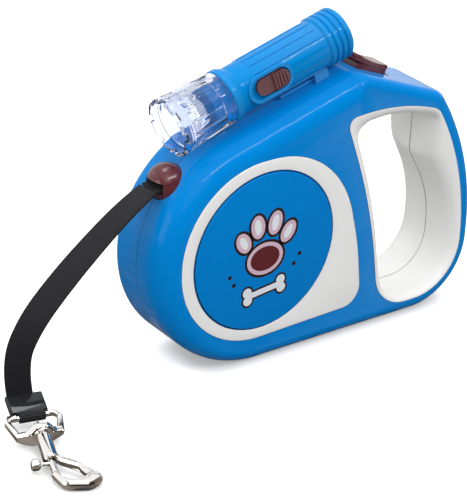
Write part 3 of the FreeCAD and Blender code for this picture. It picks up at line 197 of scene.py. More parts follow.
def woven_group():
    """Flat webbing: yarns that cross it in fine ribs, with a selvage on both sides where the
    painted highlight on the rib crests is weaker.
    """
    group, graph, given, out = new_group(
        "woven_tape",
        [
            ("Color", "Color", (0.02, 0.02, 0.02, 1)),
            ("Highlight", "Color", (0.12, 0.12, 0.13, 1)),
            ("Ribs", "Float", 120.0), ("Yarns", "Float", 9.0), ("Depth", "Float", 0.5),
        ],
        [("Color", "Color"), ("Roughness", "Float"), ("Normal", "Vector")],
    )
    split = graph.add("SeparateXYZ")
    graph.join(graph.add("UVMap").outputs["UV"], split, 0)
    across, along = split.outputs[0], split.outputs[1]
    rib_angle = graph.sum("MULTIPLY", along, graph.sum("MULTIPLY", given["Ribs"], math.tau))
    ribs = graph.range(graph.sum("SINE", rib_angle, 0.0), -1.0, 1.0, 0.0, 1.0)
    yarn_angle = graph.sum("MULTIPLY", across, graph.sum("MULTIPLY", given["Yarns"], math.tau))
    yarns = graph.range(graph.sum("SINE", yarn_angle, 0.0), -1.0, 1.0, 0.0, 1.0)
    where = graph.add("TexCoord").outputs["Object"]
    fuzz = graph.noise(where, 4200.0, 2.0)
    weave = graph.sum("MULTIPLY", ribs, graph.range(yarns, 0.0, 1.0, 0.7, 1.0))
    weave = graph.sum("ADD", weave, graph.sum("MULTIPLY", fuzz, 0.35))
    edge = graph.sum("ABSOLUTE", graph.sum("SUBTRACT", across, 0.5), 0.0)
    selvage = graph.range(edge, 0.42, 0.45, 0.0, 1.0)
    # Painted highlight: the rib crests are coloured towards the Highlight colour, less near both
    # edges.
    crests = graph.range(weave, 0.55, 1.2, 0.0, 1.0)
    shine = graph.sum("MULTIPLY", crests, graph.range(selvage, 0, 1, 1.0, 0.6))
    graph.join(graph.mix(shine, given["Color"], given["Highlight"]), out, "Color")
    graph.join(graph.range(weave, 0.0, 1.3, 0.85, 0.5), out, "Roughness")
    bump = graph.add("Bump")
    bump.inputs["Distance"].default_value = 0.00035
    graph.join(given["Depth"], bump, "Strength")
    graph.join(weave, bump, "Height")
    graph.join(bump.outputs[0], out, "Normal")
    return group


def plated_group():
    """Bright plate over a casting: soft ripples, faint haze and darker hollows."""
    group, graph, given, out = new_group(
        "plated_surface",
        [
            ("Color", "Color", (0.8, 0.78, 0.75, 1)), ("Tarnish", "Color", (0.35, 0.3, 0.26, 1)),
            ("Haze", "Float", 0.12), ("Ripple", "Float", 0.15),
        ],
        [("Color", "Color"), ("Roughness", "Float"), ("Normal", "Vector")],
    )
    where = graph.add("TexCoord").outputs["Object"]
    cloud = graph.noise(where, 240.0, 4.0, 0.6)
    hollow = graph.range(graph.add("NewGeometry").outputs["Pointiness"], 0.42, 0.5, 0.6, 0.0)
    dulled = graph.sum("ADD", hollow, graph.range(cloud, 0.55, 0.85, 0.0, 0.35))
    graph.join(graph.mix(dulled, given["Color"], given["Tarnish"]), out, "Color")
    hazy = graph.sum("ADD", given["Haze"], graph.range(cloud, 0.4, 0.8, 0.0, 0.12))
    graph.join(hazy, out, "Roughness")
    bump = graph.add("Bump")
    bump.inputs["Distance"].default_value = 0.0004
    graph.join(given["Ripple"], bump, "Strength")
    graph.join(graph.noise(where, 320.0, 2.0), bump, "Height")
    graph.join(bump.outputs[0], out, "Normal")
    return group


MOULDED = moulded_group()
WOVEN = woven_group()
PLATED = plated_group()


# ---------------------------------------------------------------- materials
def new_material(name, group, values, **shader):
    """A material whose colour, roughness and relief come from a group."""
    material = bpy.data.materials.new(name)
    material.use_nodes = True
    tree = material.node_tree
    surface = tree.nodes["Principled BSDF"]
    effect = tree.nodes.new("ShaderNodeGroup")
    effect.node_tree = group
    for socket, value in values.items():
        effect.inputs[socket].default_value = value
    tree.links.new(effect.outputs["Color"], surface.inputs["Base Color"])
    tree.links.new(effect.outputs["Roughness"], surface.inputs["Roughness"])
    tree.links.new(effect.outputs["Normal"], surface.inputs["Normal"])
    for socket, value in shader.items():
        surface.inputs[socket.replace("_", " ")].default_value = value
    return material


def moulded(name, color, gloss, coat=0.0, shine=0.5, **values):
    """A moulded plastic: its colour, how rough it is, its coat and how much it mirrors."""
    return new_material(
        name, MOULDED, {"Color": (*color, 1), "Gloss": gloss, **values},
        Coat_Weight=coat, Coat_Roughness=0.06, IOR=1.5, Specular_IOR_Level=shine,
    )


def ink(name, color):
    """A smooth printed layer."""
    return moulded(name, color, 0.4, Peel=0.01, Rub=0.0, shine=0.2)


blue_plastic = moulded(
    "blue_casing_plastic", (0.0, 0.215, 0.62), 0.09, shine=0.08, Mottle=0.03, Rub=0.03
)
blue_torch_plastic = moulded(
    "blue_torch_plastic", (0.0, 0.205, 0.54), 0.12, coat=0.16, shine=0.03, Mottle=0.03, Rub=0.04
)
disc_plastic = moulded(
    "blue_disc_plastic", (0.0, 0.20, 0.585), 0.26, shine=0.06, Mottle=0.03, Rub=0.03
)
white_plastic = moulded(
    "white_trim_plastic", (0.83, 0.83, 0.82), 0.34, shine=0.3, Mottle=0.02, Rub=0.0
)
maroon_plastic = moulded("maroon_plastic", (0.105, 0.018, 0.024), 0.2, Mottle=0.10, Rub=0.06)
black_plastic = moulded("black_inner_plastic", (0.02, 0.02, 0.022), 0.45, Mottle=0.1, Rub=0.1)
keeper_plastic = moulded(
    "black_keeper_lacquer", (0.007, 0.009, 0.012), 0.08, shine=0.3,
    Mottle=0.1, Rub=0.12, Peel=0.01,
)
webbing = new_material(
    "black_webbing", WOVEN,
    {
        "Color": (0.004, 0.004, 0.005, 1), "Highlight": (0.022, 0.022, 0.028, 1),
        "Ribs": 13.0, "Depth": 0.35,
    },
    Sheen_Weight=0.04, Specular_IOR_Level=0.25,
)
nickel = new_material("nickel_plate", PLATED, {"Haze": 0.06, "Ripple": 0.06}, Metallic=1.0)
steel = new_material(
    "plain_steel", PLATED, {"Color": (0.45, 0.45, 0.47, 1), "Haze": 0.28, "Ripple": 0.05},
    Metallic=1.0,
)
brass = new_material(
    "brass_strip", PLATED, {"Color": (0.7, 0.5, 0.2, 1), "Haze": 0.25, "Ripple": 0.05},
    Metallic=1.0,
)
mirror_finish = new_material(
    "metallised_bowl", PLATED,
    {"Color": (0.92, 0.93, 0.95, 1), "Tarnish": (0.8, 0.82, 0.85, 1), "Haze": 0.08},
    Metallic=1.0,
)
cell_sleeve = moulded("cell_sleeve", (0.03, 0.035, 0.04), 0.3, Mottle=0.1)
print_black = ink("printed_black", (0.022, 0.009, 0.009))
print_rose = ink("printed_rose", (0.62, 0.44, 0.53))
print_maroon = ink("printed_maroon", (0.11, 0.016, 0.02))
print_white = ink("printed_white", (0.72, 0.76, 0.80))
liner_shadow = moulded("liner_shadow", (0.22, 0.21, 0.20), 0.5, shine=0.1, Rub=0.0)
# Dark blue for the casing's seam line, and for the painted shade in the gaps round the trim pieces.
dark_seam_and_gap_shade = moulded(
    "dark_seam_and_gap_shade", (0.0, 0.05, 0.19), 0.5, shine=0.02, Rub=0.0, Mottle=0.0, Scuffs=0.0
)


def clear_material(name, tint, ior):
    """Clear plastic whose moulding marks show as slight ripples."""
    return new_material(
        name, MOULDED,
        {
            "Color": (*tint, 1), "Mottle": 0.01, "Gloss": 0.03, "Scuffs": 0.02, "Peel": 0.12,
            "Peel Size": 260.0, "Rub": 0.0,
        },
        Transmission_Weight=1.0, IOR=ior,
    )


clear_plastic = clear_material("clear_head_plastic", (0.71, 0.745, 0.85), 1.3)
clear_lens = clear_material("clear_lens_plastic", (0.90, 0.92, 0.97), 1.16)


# ---------------------------------------------------------------- mesh helpers
ARC_STEP = 0.12
SHARP, CREASED = 35.0, 50.0


def finish_piece(name, work, material, limit=SHARP):
    """Turns finished bmesh work into an object, smooth but for its sharp edges."""
    bmesh.ops.recalc_face_normals(work, faces=work.faces)
    for edge in work.edges:
        joined_faces = len(edge.link_faces) == 2
        edge.smooth = joined_faces and edge.calc_face_angle(0.0) < math.radians(limit)
    for face in work.faces:
        face.smooth = True
    mesh = bpy.data.meshes.new(name)
    work.to_mesh(mesh)
    work.free()
    mesh.materials.append(material)
    piece = bpy.data.objects.new(name, mesh)
    bpy.context.scene.collection.objects.link(piece)
    return piece


def dress(name, rows, material, limit=40.0):
    """A closed skin through rows of points: each row is a ring, and so are the rows."""
    work = bmesh.new()
    rings = [[work.verts.new(p) for p in row] for row in rows]
    for i, low in enumerate(rings):
        high = rings[(i + 1) % len(rings)]
        for j in range(len(low)):
            k = (j + 1) % len(low)
            work.faces.new((low[j], low[k], high[k], high[j]))
    return finish_piece(name, work, material, limit)


def rounded_corner(before, spot, after, radius, step=math.inf):
    """Points of the arc that rounds a corner, from the run before it to the run after."""
    back, ahead = (before - spot).normalized(), (after - spot).normalized()
    half = back.angle(ahead) / 2
    centre = spot + (back + ahead).normalized() * radius / math.sin(half)
    start = spot + back * radius / math.tan(half) - centre
    sweep = math.pi - 2 * half
    side = 1 if back.x * ahead.y - back.y * ahead.x < 0 else -1
    pieces = max(2, math.ceil(radius * sweep / step), math.ceil(sweep / ARC_STEP))
    turns = [side * sweep * k / pieces for k in range(pieces + 1)]
    return [centre + Matrix.Rotation(turn, 2) @ start for turn in turns]


def rounded_outline(corners, step=1.2):
    """Points round an outline of straight runs and arcs; each corner is x, y and its radius."""
    spots = [Vector((x, y)) for x, y, _ in corners]
    outline = []
    for i, spot in enumerate(spots):
        after = spots[(i + 1) % len(spots)]
        outline += rounded_corner(spots[i - 1], spot, after, corners[i][2], step)
    return outline


def soft_line(corners):
    """An open line of runs whose inner corners are rounded, given as in an outline."""
    spots = [Vector(corner[:2]) for corner in corners]
    points = [spots[0]]
    for (_, _, radius), before, spot, after in zip(corners[1:], spots, spots[1:], spots[2:]):
        nearly_straight = (before - spot).angle(after - spot) / 2 > math.pi / 2 - 0.01
        if radius < 1e-6 or nearly_straight:
            points.append(spot)
        else:
            points += rounded_corner(before, spot, after, radius)
    return points + [spots[-1]]


def ray_length(outline, centre, direction):
    """How far an outline is from a centre along a direction."""
    best = 0.0
    for a, b in zip(outline, outline[1:] + outline[:1]):
        edge = b - a
        across = direction.x * edge.y - direction.y * edge.x
        if abs(across) < 1e-12:
            continue
        gap = a - centre
        reach = (gap.x * edge.y - gap.y * edge.x) / across
        share = (gap.x * direction.y - gap.y * direction.x) / across
        if reach > 0 and -1e-6 <= share <= 1 + 1e-6:
            best = max(best, reach)
    return best


def lying(x, y, z, yaw, roll):
    """Puts a fitting's own millimetres where it lies: turned by yaw, tipped by roll."""
    lie = Matrix.Rotation(math.radians(yaw), 3, "Z")
    lie = lie @ Matrix.Rotation(math.radians(roll), 3, "X")
    return lambda p: (Vector((x, y, z)) + lie @ Vector(p)) * MM


def circle_outline(x, y, radius, count=48):
    turns = [math.tau * k / count for k in range(count)]
    return [Vector((x + radius * math.cos(t), y + radius * math.sin(t))) for t in turns]


def inward(outline):
    """Directions into an anticlockwise outline, and out of a clockwise one."""
    result = []
    for i in range(len(outline)):
        run = outline[(i + 1) % len(outline)] - outline[i - 1]
        result.append(Vector((-run.y, run.x)).normalized())
    return result


def signed_area(outline):
    """Above nothing for an anticlockwise outline."""
    ahead = outline[1:] + outline[:1]
    return sum(a.x * b.y - a.y * b.x for a, b in zip(outline, ahead)) / 2


def round_levels(low, high, radius, steps=5):
    """Levels of a plate from low to high whose two edges are rounded by a radius."""
    levels = []
    for end, side in ((low, 1), (high, -1)):
        turns = [math.pi / 2 * k / steps for k in range(steps + 1)]
        insets = [radius * (1 - math.sin(t)) for t in turns]
        arc = [(inset, end + side * radius * (1 - math.cos(t))) for inset, t in zip(insets, turns)]
        levels += arc if side > 0 else arc[::-1]
    return levels


def plate(name, outlines, levels, put, material, limit=SHARP):
    """A plate with shaped edges: the first outline is its rim and the others are holes.

    Each level is an inset from the edges and a height; put moves its points into place.
    """
    work = bmesh.new()
    ends = [[], []]
    for index, outline in enumerate(outlines):
        outline = [Vector(p) for p in outline]
        if (signed_area(outline) > 0) == (index > 0):
            outline.reverse()
        sides = inward(outline)
        rings = []
        for inset, height in levels:
            spots = [p + n * inset for p, n in zip(outline, sides)]
            rings.append([work.verts.new(put((p.x, p.y, height))) for p in spots])
        for low, high in zip(rings, rings[1:]):
            for j in range(len(low)):
                k = (j + 1) % len(low)
                work.faces.new((low[j], low[k], high[k], high[j]))
        for end, ring in zip(ends, (rings[0], rings[-1])):
            end += [work.edges.get((ring[j - 1], ring[j])) for j in range(len(ring))]
    for end in ends:
        bmesh.ops.triangle_fill(work, edges=end, use_beauty=True, use_dissolve=False)
    return finish_piece(name, work, material, limit)


def turned(name, profile, put, material, count=48):
    """A turned piece: its profile is radius and height, with Z along its axis."""
    work = bmesh.new()
    rings = []
    for radius, height in profile:
        if radius < 1e-6:
            rings.append([work.verts.new(put((0, 0, height)))])
            continue
        turns = [math.tau * k / count for k in range(count)]
        ring = [put((radius * math.cos(t), radius * math.sin(t), height)) for t in turns]
        rings.append([work.verts.new(spot) for spot in ring])
    for low, high in zip(rings, rings[1:]):
        for j in range(count):
            k = (j + 1) % count
            corners = [low[j % len(low)], low[k % len(low)]]
            corners += [high[k % len(high)], high[j % len(high)]]
            work.faces.new(list(dict.fromkeys(corners)))
    return finish_piece(name, work, material)


def cut_from(piece, cutter):
    """A piece with another one's space taken out of it; both are used up."""
    cut = piece.modifiers.new("cut", "BOOLEAN")
    cut.operation, cut.solver, cut.object = "DIFFERENCE", "EXACT", cutter
    bpy.context.view_layer.update()
    shaped = piece.evaluated_get(bpy.context.evaluated_depsgraph_get())
    work = bmesh.new()
    work.from_mesh(shaped.to_mesh())
    name, material = piece.name, piece.data.materials[0]
    bpy.data.objects.remove(piece)
    bpy.data.objects.remove(cutter)
    return finish_piece(name, work, material)


def joined(name, pieces):
    """Several pieces made one object."""
    work = bmesh.new()
    for piece in pieces:
        work.from_mesh(piece.data)
    mesh = bpy.data.meshes.new(name)
    work.to_mesh(mesh)
    work.free()
    for material in pieces[0].data.materials:
        mesh.materials.append(material)
    for piece in pieces:
        bpy.data.objects.remove(piece)
    whole = bpy.data.objects.new(name, mesh)
    bpy.context.scene.collection.objects.link(whole)
    return whole


# ---------------------------------------------------------------- tape
TAPE_WIDE, TAPE_THICK = 12.0, 1.2
TAPE_START, TAPE_TURN, TAPE_TWIST = -90.0, 75.0, 0.62
ROUTE = [
    (-51.9, 0.0, 35.5), (-63.0, -1.1, 30.4), (-80.5, -2.7, 18.8), (-99.5, -4.5, 4.6),
    (-116.5, -6.1, -11.0), (-125.0, -6.8, -28.0), (-121.6, -6.5, -45.6),
]


def smooth_line(points, resolution=16):
    """Points read from a smooth spline that has the given ones as its control points."""
    curve = bpy.data.curves.new("route", "CURVE")
    curve.dimensions = "3D"
    spline = curve.splines.new("NURBS")
    spline.points.add(len(points) - 1)
    for control, point in zip(spline.points, points):
        control.co = (*point, 1)
    spline.order_u = 3
    spline.use_endpoint_u = True
    spline.resolution_u = resolution
    holder = bpy.data.objects.new("route", curve)
    bpy.context.scene.collection.objects.link(holder)
    mesh = bpy.data.meshes.new_from_object(holder)
    line = [v.co.copy() for v in mesh.vertices]
    bpy.data.objects.remove(holder)
    bpy.data.meshes.remove(mesh)
    return line


def band(name, line, across, wide, thick, material, rows=12):
    """A flat band along a line, with a direction across it at each point, and its weave's map."""
    half, edge = wide / 2, thick * 0.3
    top = [(-half + edge + (wide - 2 * edge) * k / rows, thick / 2) for k in range(rows + 1)]
    ring = [(-half, 0.0)] + top + [(half, 0.0)] + [(x, -z) for x, z in reversed(top)]
    work = bmesh.new()
    maps = work.loops.layers.uv.new("weave")
    rings, places, run = [], [], 0.0
    for i, spot in enumerate(line):
        ahead = (line[min(i + 1, len(line) - 1)] - line[max(i - 1, 0)]).normalized()
        side = (across[i] - ahead * across[i].dot(ahead)).normalized()
        face = side.cross(ahead)
        run += (spot - line[i - 1]).length if i else 0.0
        rings.append([work.verts.new(spot + side * x + face * z) for x, z in ring])
        places.append([((x + half) / wide, run / wide) for x, z in ring])
    count = len(ring)
    for i in range(len(rings) - 1):
        for j in range(count):
            k = (j + 1) % count
            quad = ((i, j), (i, k), (i + 1, k), (i + 1, j))
            face = work.faces.new([rings[a][b] for a, b in quad])
            for loop, (a, b) in zip(face.loops, quad):
                loop[maps].uv = places[a][b]
    for index in (0, -1):
        face = work.faces.new(rings[index])
        for loop, place in zip(face.loops, places[index]):
            loop[maps].uv = place
    return finish_piece(name, work, material)


def make_tape():
    """The webbing from the nozzle to the keeper, twisting most near the nozzle."""
    line = smooth_line([from_reel(*point) for point in ROUTE])
    total = sum((b - a).length for a, b in zip(line, line[1:]))
    across, run = [], 0.0
    for i, spot in enumerate(line):
        run += (spot - line[i - 1]).length if i else 0.0
        share = run / total
        turn = math.radians(TAPE_START + TAPE_TURN * share ** TAPE_TWIST)
        across.append(Vector((math.cos(turn), math.sin(turn), 0)))
    tape = band("tape_webbing", line, across, TAPE_WIDE * MM, TAPE_THICK * MM, webbing)
    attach(tape, "root")
    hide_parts("leash_tape")
    return tape, line


tape, tape_line = make_tape()

# ---------------------------------------------------------------- keeper and loop
KEEPER = lying(-156.2, -11.0, 9.8, -15.0, 20.0)
EYE = lying(-158.4, -19.3, 8.5, -13.0, 15.0)
LOOP = lying(-158.4, -19.3, 8.5, -14.0, 14.0)
HOOK = lying(-159.9, -29.5, 6.4, -20.4, 5.7)
KEEPER_WIDE, KEEPER_LONG, KEEPER_THICK = 8.5, 5.0, 1.5
SWIVEL = (0.8, 0.6)
KNOB_Y = -22.6


def make_keeper():
    """The folded black keeper: an oblong sleeve that the tape's two layers run through."""
    wide, thick = KEEPER_WIDE, KEEPER_THICK
    rim = rounded_outline([
        (-wide, -thick, 0.7), (wide, -thick, 0.7), (wide, thick, 1.1), (-wide, thick, 1.1),
    ], 0.3)
    way = rounded_outline([
        (-6.4, -0.7, 0.3), (6.4, -0.7, 0.3), (6.4, 0.7, 0.3), (-6.4, 0.7, 0.3),
    ], 0.3)
    keeper = plate(
        "keeper_sleeve", [rim, way], round_levels(-KEEPER_LONG, KEEPER_LONG, 0.18, 3),
        lambda p: KEEPER((p[0], p[2], p[1])), keeper_plastic,
    )
    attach(keeper, "root")
    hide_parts("tape_keeper")
    return keeper


def make_loop():
    """The tape's end, turned round the eye's bar, with both its layers in the keeper."""
    radius, steps = 1.85, 24
    line = [Vector((0, 6.5, -0.55)), Vector((0, 3.9, -0.8))]
    turns = [math.radians(52 + 218 * k / steps) for k in range(steps + 1)]
    line += [Vector((0, radius * math.cos(t), radius * math.sin(t))) for t in turns]
    line += [Vector((0, 3.9, -1.85)), Vector((0, 6.5, -1.6))]
    line = smooth_line([LOOP(p) for p in line], 6)
    side = (LOOP((1, 0, 0)) - LOOP((0, 0, 0))).normalized()
    across = [side] * len(line)
    loop = band("loop_webbing", line, across, TAPE_WIDE * MM, 0.9 * MM, webbing)
    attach(loop, "root")
    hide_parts("tape_loop")
    return loop


keeper = make_keeper()
loop = make_loop()


# ---------------------------------------------------------------- swivel eye and snap hook
def make_eye():
    """The cast eye: bar, two arms, and a front band that arches over the swivel."""
    frame_rim = rounded_outline([
        (-7.0, 1.5, 0.3), (-11.6, 1.5, 1.2), (-13.2, -2.3, 0.6), (-10.9, -12.3, 0.5),
        (10.9, -12.3, 0.5), (13.2, -2.3, 0.6), (11.6, 1.5, 1.2), (7.0, 1.5, 0.3),
        (7.0, -0.8, 0.3), (9.4, -0.8, 0.4), (10.8, -2.2, 0.5), (8.5, -9.1, 0.4),
        (-8.5, -9.1, 0.4), (-10.8, -2.2, 0.5), (-9.4, -0.8, 0.4), (-7.0, -0.8, 0.3),
    ], 0.4)
    flat = plate("eye_frame", [frame_rim], round_levels(-1.3, 1.3, 0.4, 3), EYE, nickel)
    bar = turned(
        "eye_bar", soft_line([(0, -10.4, 0), (1.3, -10.4, 0.4), (1.3, 10.4, 0.4), (0, 10.4, 0)]),
        lambda p: EYE((p[2], p[0], p[1])), nickel, 32,
    )
    arch = rounded_outline([
        (-10.8, -1.5, 0.3), (-8.6, -3.2, 1.5), (-3.2, -5.7, 1.0), (4.2, -5.7, 1.0),
        (8.6, -3.2, 1.5), (10.8, -1.5, 0.3), (10.8, 1.3, 0.5), (6.8, 1.5, 2.5),
        (3.8, 5.6, 3.2), (-2.4, 5.6, 3.2), (-5.4, 1.5, 2.5), (-10.8, 1.3, 0.5),
    ], 0.5)
    hole = circle_outline(*SWIVEL, 3.4, 40)
    front = plate(
        "eye_front", [arch, hole], round_levels(-12.4, -9.2, 0.5, 4),
        lambda p: EYE((p[0], p[2], p[1])), nickel,
    )
    ring = turned("eye_ring", soft_line([
        (3.75, -11.8, 0), (4.7, -11.8, 0), (4.7, -13.5, 0.45), (3.75, -13.5, 0.35),
        (3.75, -11.8, 0),
    ]), lambda p: EYE((SWIVEL[0] + p[0], p[2], SWIVEL[1] + p[1])), nickel)
    eye = joined("eye_casting", [flat, bar, front, ring])
    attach(eye, "snap_eye")
    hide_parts("snap_swivel_eye")
    return eye


def make_hook():
    """The hook: a turned neck and barrel, and a flattened open bow with broad bevels."""
    barrel = turned("hook_barrel", soft_line([
        (0.0, 4.2, 0), (3.1, 4.2, 0.5), (3.1, 2.7, 0.2), (2.0, 2.6, 0.2), (2.0, -1.9, 0.2),
        (3.1, -2.1, 0.3), (3.35, -2.9, 0.4), (3.4, -19.9, 0.6), (2.9, -21.0, 0.3),
        (1.9, -21.0, 0.1), (1.9, -7.0, 0), (0.0, -7.0, 0),
    ]), lambda p: HOOK((p[0], p[2], p[1])), nickel, 64)
    slot = rounded_outline([
        (-24.0, -0.95, 0.1), (-14.4, -0.95, 0.9), (-14.4, 0.95, 0.9), (-24.0, 0.95, 0.1),
    ], 0.2)
    barrel = cut_from(barrel, plate(
        "knob_slot", [slot], [(0.0, -4.4), (0.0, -1.0)], lambda p: HOOK((p[2], p[0], p[1])), nickel,
    ))
    bow = rounded_outline([
        (1.9, -18.0, 0.8), (3.6, -18.8, 1.5), (13.4, -28.4, 20.0), (20.4, -36.9, 3.2),
        (13.2, -41.9, 6.5), (1.4, -40.0, 6.0), (-2.3, -30.3, 0.8), (1.5, -29.7, 0.8),
        (2.2, -34.2, 2.5), (7.6, -37.4, 3.0), (12.6, -34.4, 2.2), (10.0, -27.4, 4.0),
        (3.0, -22.4, 1.5), (1.9, -20.6, 0.6),
    ], 0.35)
    levels = [
        (1.25, -2.5), (1.12, -2.48), (1.0, -2.4), (0.2, -0.95), (0.06, -0.7), (0.0, -0.4),
        (0.0, 0.4), (0.06, 0.7), (0.2, 0.95), (1.0, 2.4), (1.12, 2.48), (1.25, 2.5),
    ]
    bow_part = plate("hook_bow", [bow], levels, HOOK, nickel, CREASED)
    hook = joined("hook_casting", [barrel, bow_part])
    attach(hook, "snap_hook")
    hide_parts("snap_hook_body")
    return hook


def make_bolt():
    """The spring bolt with its thumb knob."""
    rod = turned("bolt_rod", soft_line([
        (0, -15.0, 0), (1.5, -15.0, 0.2), (1.5, -29.4, 0.5), (0, -29.4, 0),
    ]), lambda p: HOOK((p[0], p[2], p[1])), nickel, 32)
    knob = turned("bolt_knob", soft_line([
        (0, 0.3, 0), (0.75, 0.3, 0), (0.75, 4.9, 0.3), (1.9, 5.3, 0.4), (2.55, 6.1, 0.6),
        (2.6, 8.3, 0.6), (2.0, 9.1, 0.5), (0, 9.2, 0),
    ]), lambda p: HOOK((-p[2], KNOB_Y + p[0], p[1])), nickel, 40)
    bolt = joined("bolt_and_knob", [rod, knob])
    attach(bolt, "snap_bolt")
    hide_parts("snap_bolt")
    return bolt


eye, hook, bolt = make_eye(), make_hook(), make_bolt()


# ---------------------------------------------------------------- clear torch head
TORCH_SPOT, TORCH_LEAN = (-42.91, 62.66), math.radians(73.6)
HEAD_LONG, HEAD_FRONT, HEAD_BACK = 29.5, 14.3, 12.6
HEAD_NECK = 9.62
LEAVES, LEAF_DEEP, LEAF_START, LEAF_END = 14, 0.95, 5.0, 26.9
NOTCHES, NOTCH_HALF, NOTCH_DEEP = 8, math.radians(8.0), 1.8
NOTCH_EDGE = 0.004
ROUND_EDGE = {0.0: 0.9, 0.25: 0.4, 0.7: 0.12}
GROOVE_START, GROOVE_END, GROOVE_DEEP = 3.9, 4.7, 0.35
OUTSIDE_HEIGHTS = [0.0, 0.25, 0.7, 1.3, 2.6, 4.0, 4.6]
OUTSIDE_HEIGHTS += [LEAF_START + (LEAF_END - LEAF_START) * k / 22 for k in range(23)]
OUTSIDE_HEIGHTS += [27.6, 28.9, HEAD_LONG]
INSIDE = [
    (12.35, 0.0), (12.45, 1.5), (11.9, 4.4), (11.72, 6.8), (11.2, 14.0), (10.6, 24.2),
    (10.6, 25.0), (HEAD_NECK, 25.0), (HEAD_NECK, HEAD_LONG),
]


def along_torch(p):
    """A place given on the torch, whose third number runs from the rim towards the tail."""
    cos, sin = math.cos(TORCH_LEAN), math.sin(TORCH_LEAN)
    x, z = p[0] * cos + p[2] * sin, -p[0] * sin + p[2] * cos
    return from_reel(TORCH_SPOT[0] + x, p[1], TORCH_SPOT[1] + z)


def leaf_cut(turn, height):
    """How deep a leaf-shaped flute is at a place on the head's outside."""
    share = (height - LEAF_START) / (LEAF_END - LEAF_START)
    if not 0.0 < share < 1.0:
        return 0.0
    width = min(1.0, 2.6 * share) * min(1.0, 5.0 * (1.0 - share)) ** 0.5
    across = abs(2.0 * (turn * LEAVES / math.tau % 1.0) - 1.0)
    return LEAF_DEEP * width * max(0.0, 1.0 - (across / width) ** 2)


def make_head():
    """The clear head: a notched rim, a groove, leaf-shaped flutes and a stepped bore."""
    turns = {math.tau * k / (LEAVES * 16) for k in range(LEAVES * 16)}
    for k in range(NOTCHES):
        middle = math.tau * k / NOTCHES
        for reach in (NOTCH_HALF, NOTCH_HALF + NOTCH_EDGE):
            turns |= {(middle - reach) % math.tau, (middle + reach) % math.tau}
    work = bmesh.new()
    columns = []
    for turn in sorted(turns):
        from_notch = abs((turn + math.pi / NOTCHES) % (math.tau / NOTCHES) - math.pi / NOTCHES)
        sink = NOTCH_DEEP if from_notch < NOTCH_HALF + NOTCH_EDGE / 2 else 0.0
        spots = []
        for height in OUTSIDE_HEIGHTS:
            radius = HEAD_FRONT - 0.1 + (HEAD_BACK - HEAD_FRONT) * height / HEAD_LONG
            radius -= leaf_cut(turn, height) + ROUND_EDGE.get(height, 0.0)
            radius -= GROOVE_DEEP if GROOVE_START < height < GROOVE_END else 0.0
            spots.append((radius, max(height, sink + height * 0.05)))
        spots += [(radius, max(height, sink)) for radius, height in reversed(INSIDE)]
        cos, sin = math.cos(turn), math.sin(turn)
        columns.append([work.verts.new(along_torch((r * cos, r * sin, h))) for r, h in spots])
    count = len(columns[0])
    for i in range(len(columns)):
        left, right = columns[i - 1], columns[i]
        for j in range(count):
            k = (j + 1) % count
            work.faces.new((left[j], right[j], right[k], left[k]))
    head = finish_piece("clear_head", work, clear_plastic, 24.0)
    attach(head, "torch_head")
    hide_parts("torch_head")
    return head


make_head()

# ---------------------------------------------------------------- grip liners
RIM = [
    (120, 12.7, 135), (120, -50, 26), (71, -50, 20), (62.2, 5.7, 290), (43.5, 55, 4.5),
    (74.3, 57.2, 105), (99.2, 48.7, 9),
]
CREST = [
    (115, -46.5, 21), (115, -6.2, 60), (100.2, 19.5, 9), (100.2, 42.5, 5), (74.5, 50.3, 50),
    (53.3, 46.8, 7), (67, 5.7, 240), (75.3, -46.5, 15.5),
]
GRIP_MIDDLE = Vector((84, 2))
FACE = 19.8
LIP_DEEP, LIP_START = 6.0, 1.5
LINER_STEPS = 360


def make_liner(name, node, side):
    """Half of the white grip liner, from its crest at the seam out to its rim."""
    rim, crest = rounded_outline(RIM, 2.0), rounded_outline(CREST, 2.0)
    turns = [math.tau * k / LINER_STEPS for k in range(LINER_STEPS)]
    ways = [Vector((math.cos(t), math.sin(t))) for t in turns]
    nears = [ray_length(crest, GRIP_MIDDLE, way) for way in ways]
    fars = [ray_length(rim, GRIP_MIDDLE, way) for way in ways]
    wall = FACE - LIP_DEEP - LIP_START
    profile = [(0.035, 0.0), (0.0, 0.25), (0.012, LIP_START)]
    profile += [(0.14 * (k / 8) ** 1.3 + 0.012, LIP_START + wall * k / 8) for k in range(1, 9)]
    base = profile[-1][0]
    for k in range(1, 13):
        angle = math.pi / 2 * k / 12
        height = FACE - LIP_DEEP + LIP_DEEP * math.sin(angle)
        profile.append((base + (1 - base) * (1 - math.cos(angle)), height))
    rings = [([n + (f - n) * share for n, f in zip(nears, fars)], z) for share, z in profile]
    rings += [(fars, FACE - 1.2), ([near + 1.8 for near in nears], 0.0)]
    rows = []
    for reaches, height in rings:
        spots = [GRIP_MIDDLE + way * reach for way, reach in zip(ways, reaches)]
        rows.append([from_reel(spot.x, side * height, spot.y) for spot in spots])
    liner = dress(name, rows, white_plastic, CREASED)
    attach(liner, "root")
    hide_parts(node)
    return liner


make_liner("front_liner_skin", "front_grip_liner", -1)
make_liner("rear_liner_skin", "rear_grip_liner", 1)


# ---------------------------------------------------------------- side plates, discs, print
PLATE = [
    (28, 45.3, 48), (48.3, 16.6, 55), (55.7, -11.1, 150), (59.8, -42.8, 10),
    (-46, -46, 44.5), (-46, 45.3, 44.5),
]
PLATE_FACE, DISC_FACE = 19.8, 20.3
HOLE_RADIUS, DISC_RADIUS = 39.35, 38.75
SEAT_FLOOR = 18.55
FIT = 0.2
ROUND_STEPS = 160
LOW_INK, MIDDLE_INK, TOP_INK = 0.03, 0.06, 0.09


def side_of_casing(side):
    """Puts a side view's points, and how far they stand out, on the front (-1) or rear (1)."""
    return lambda p: from_reel(p[0], side * p[2], p[1])


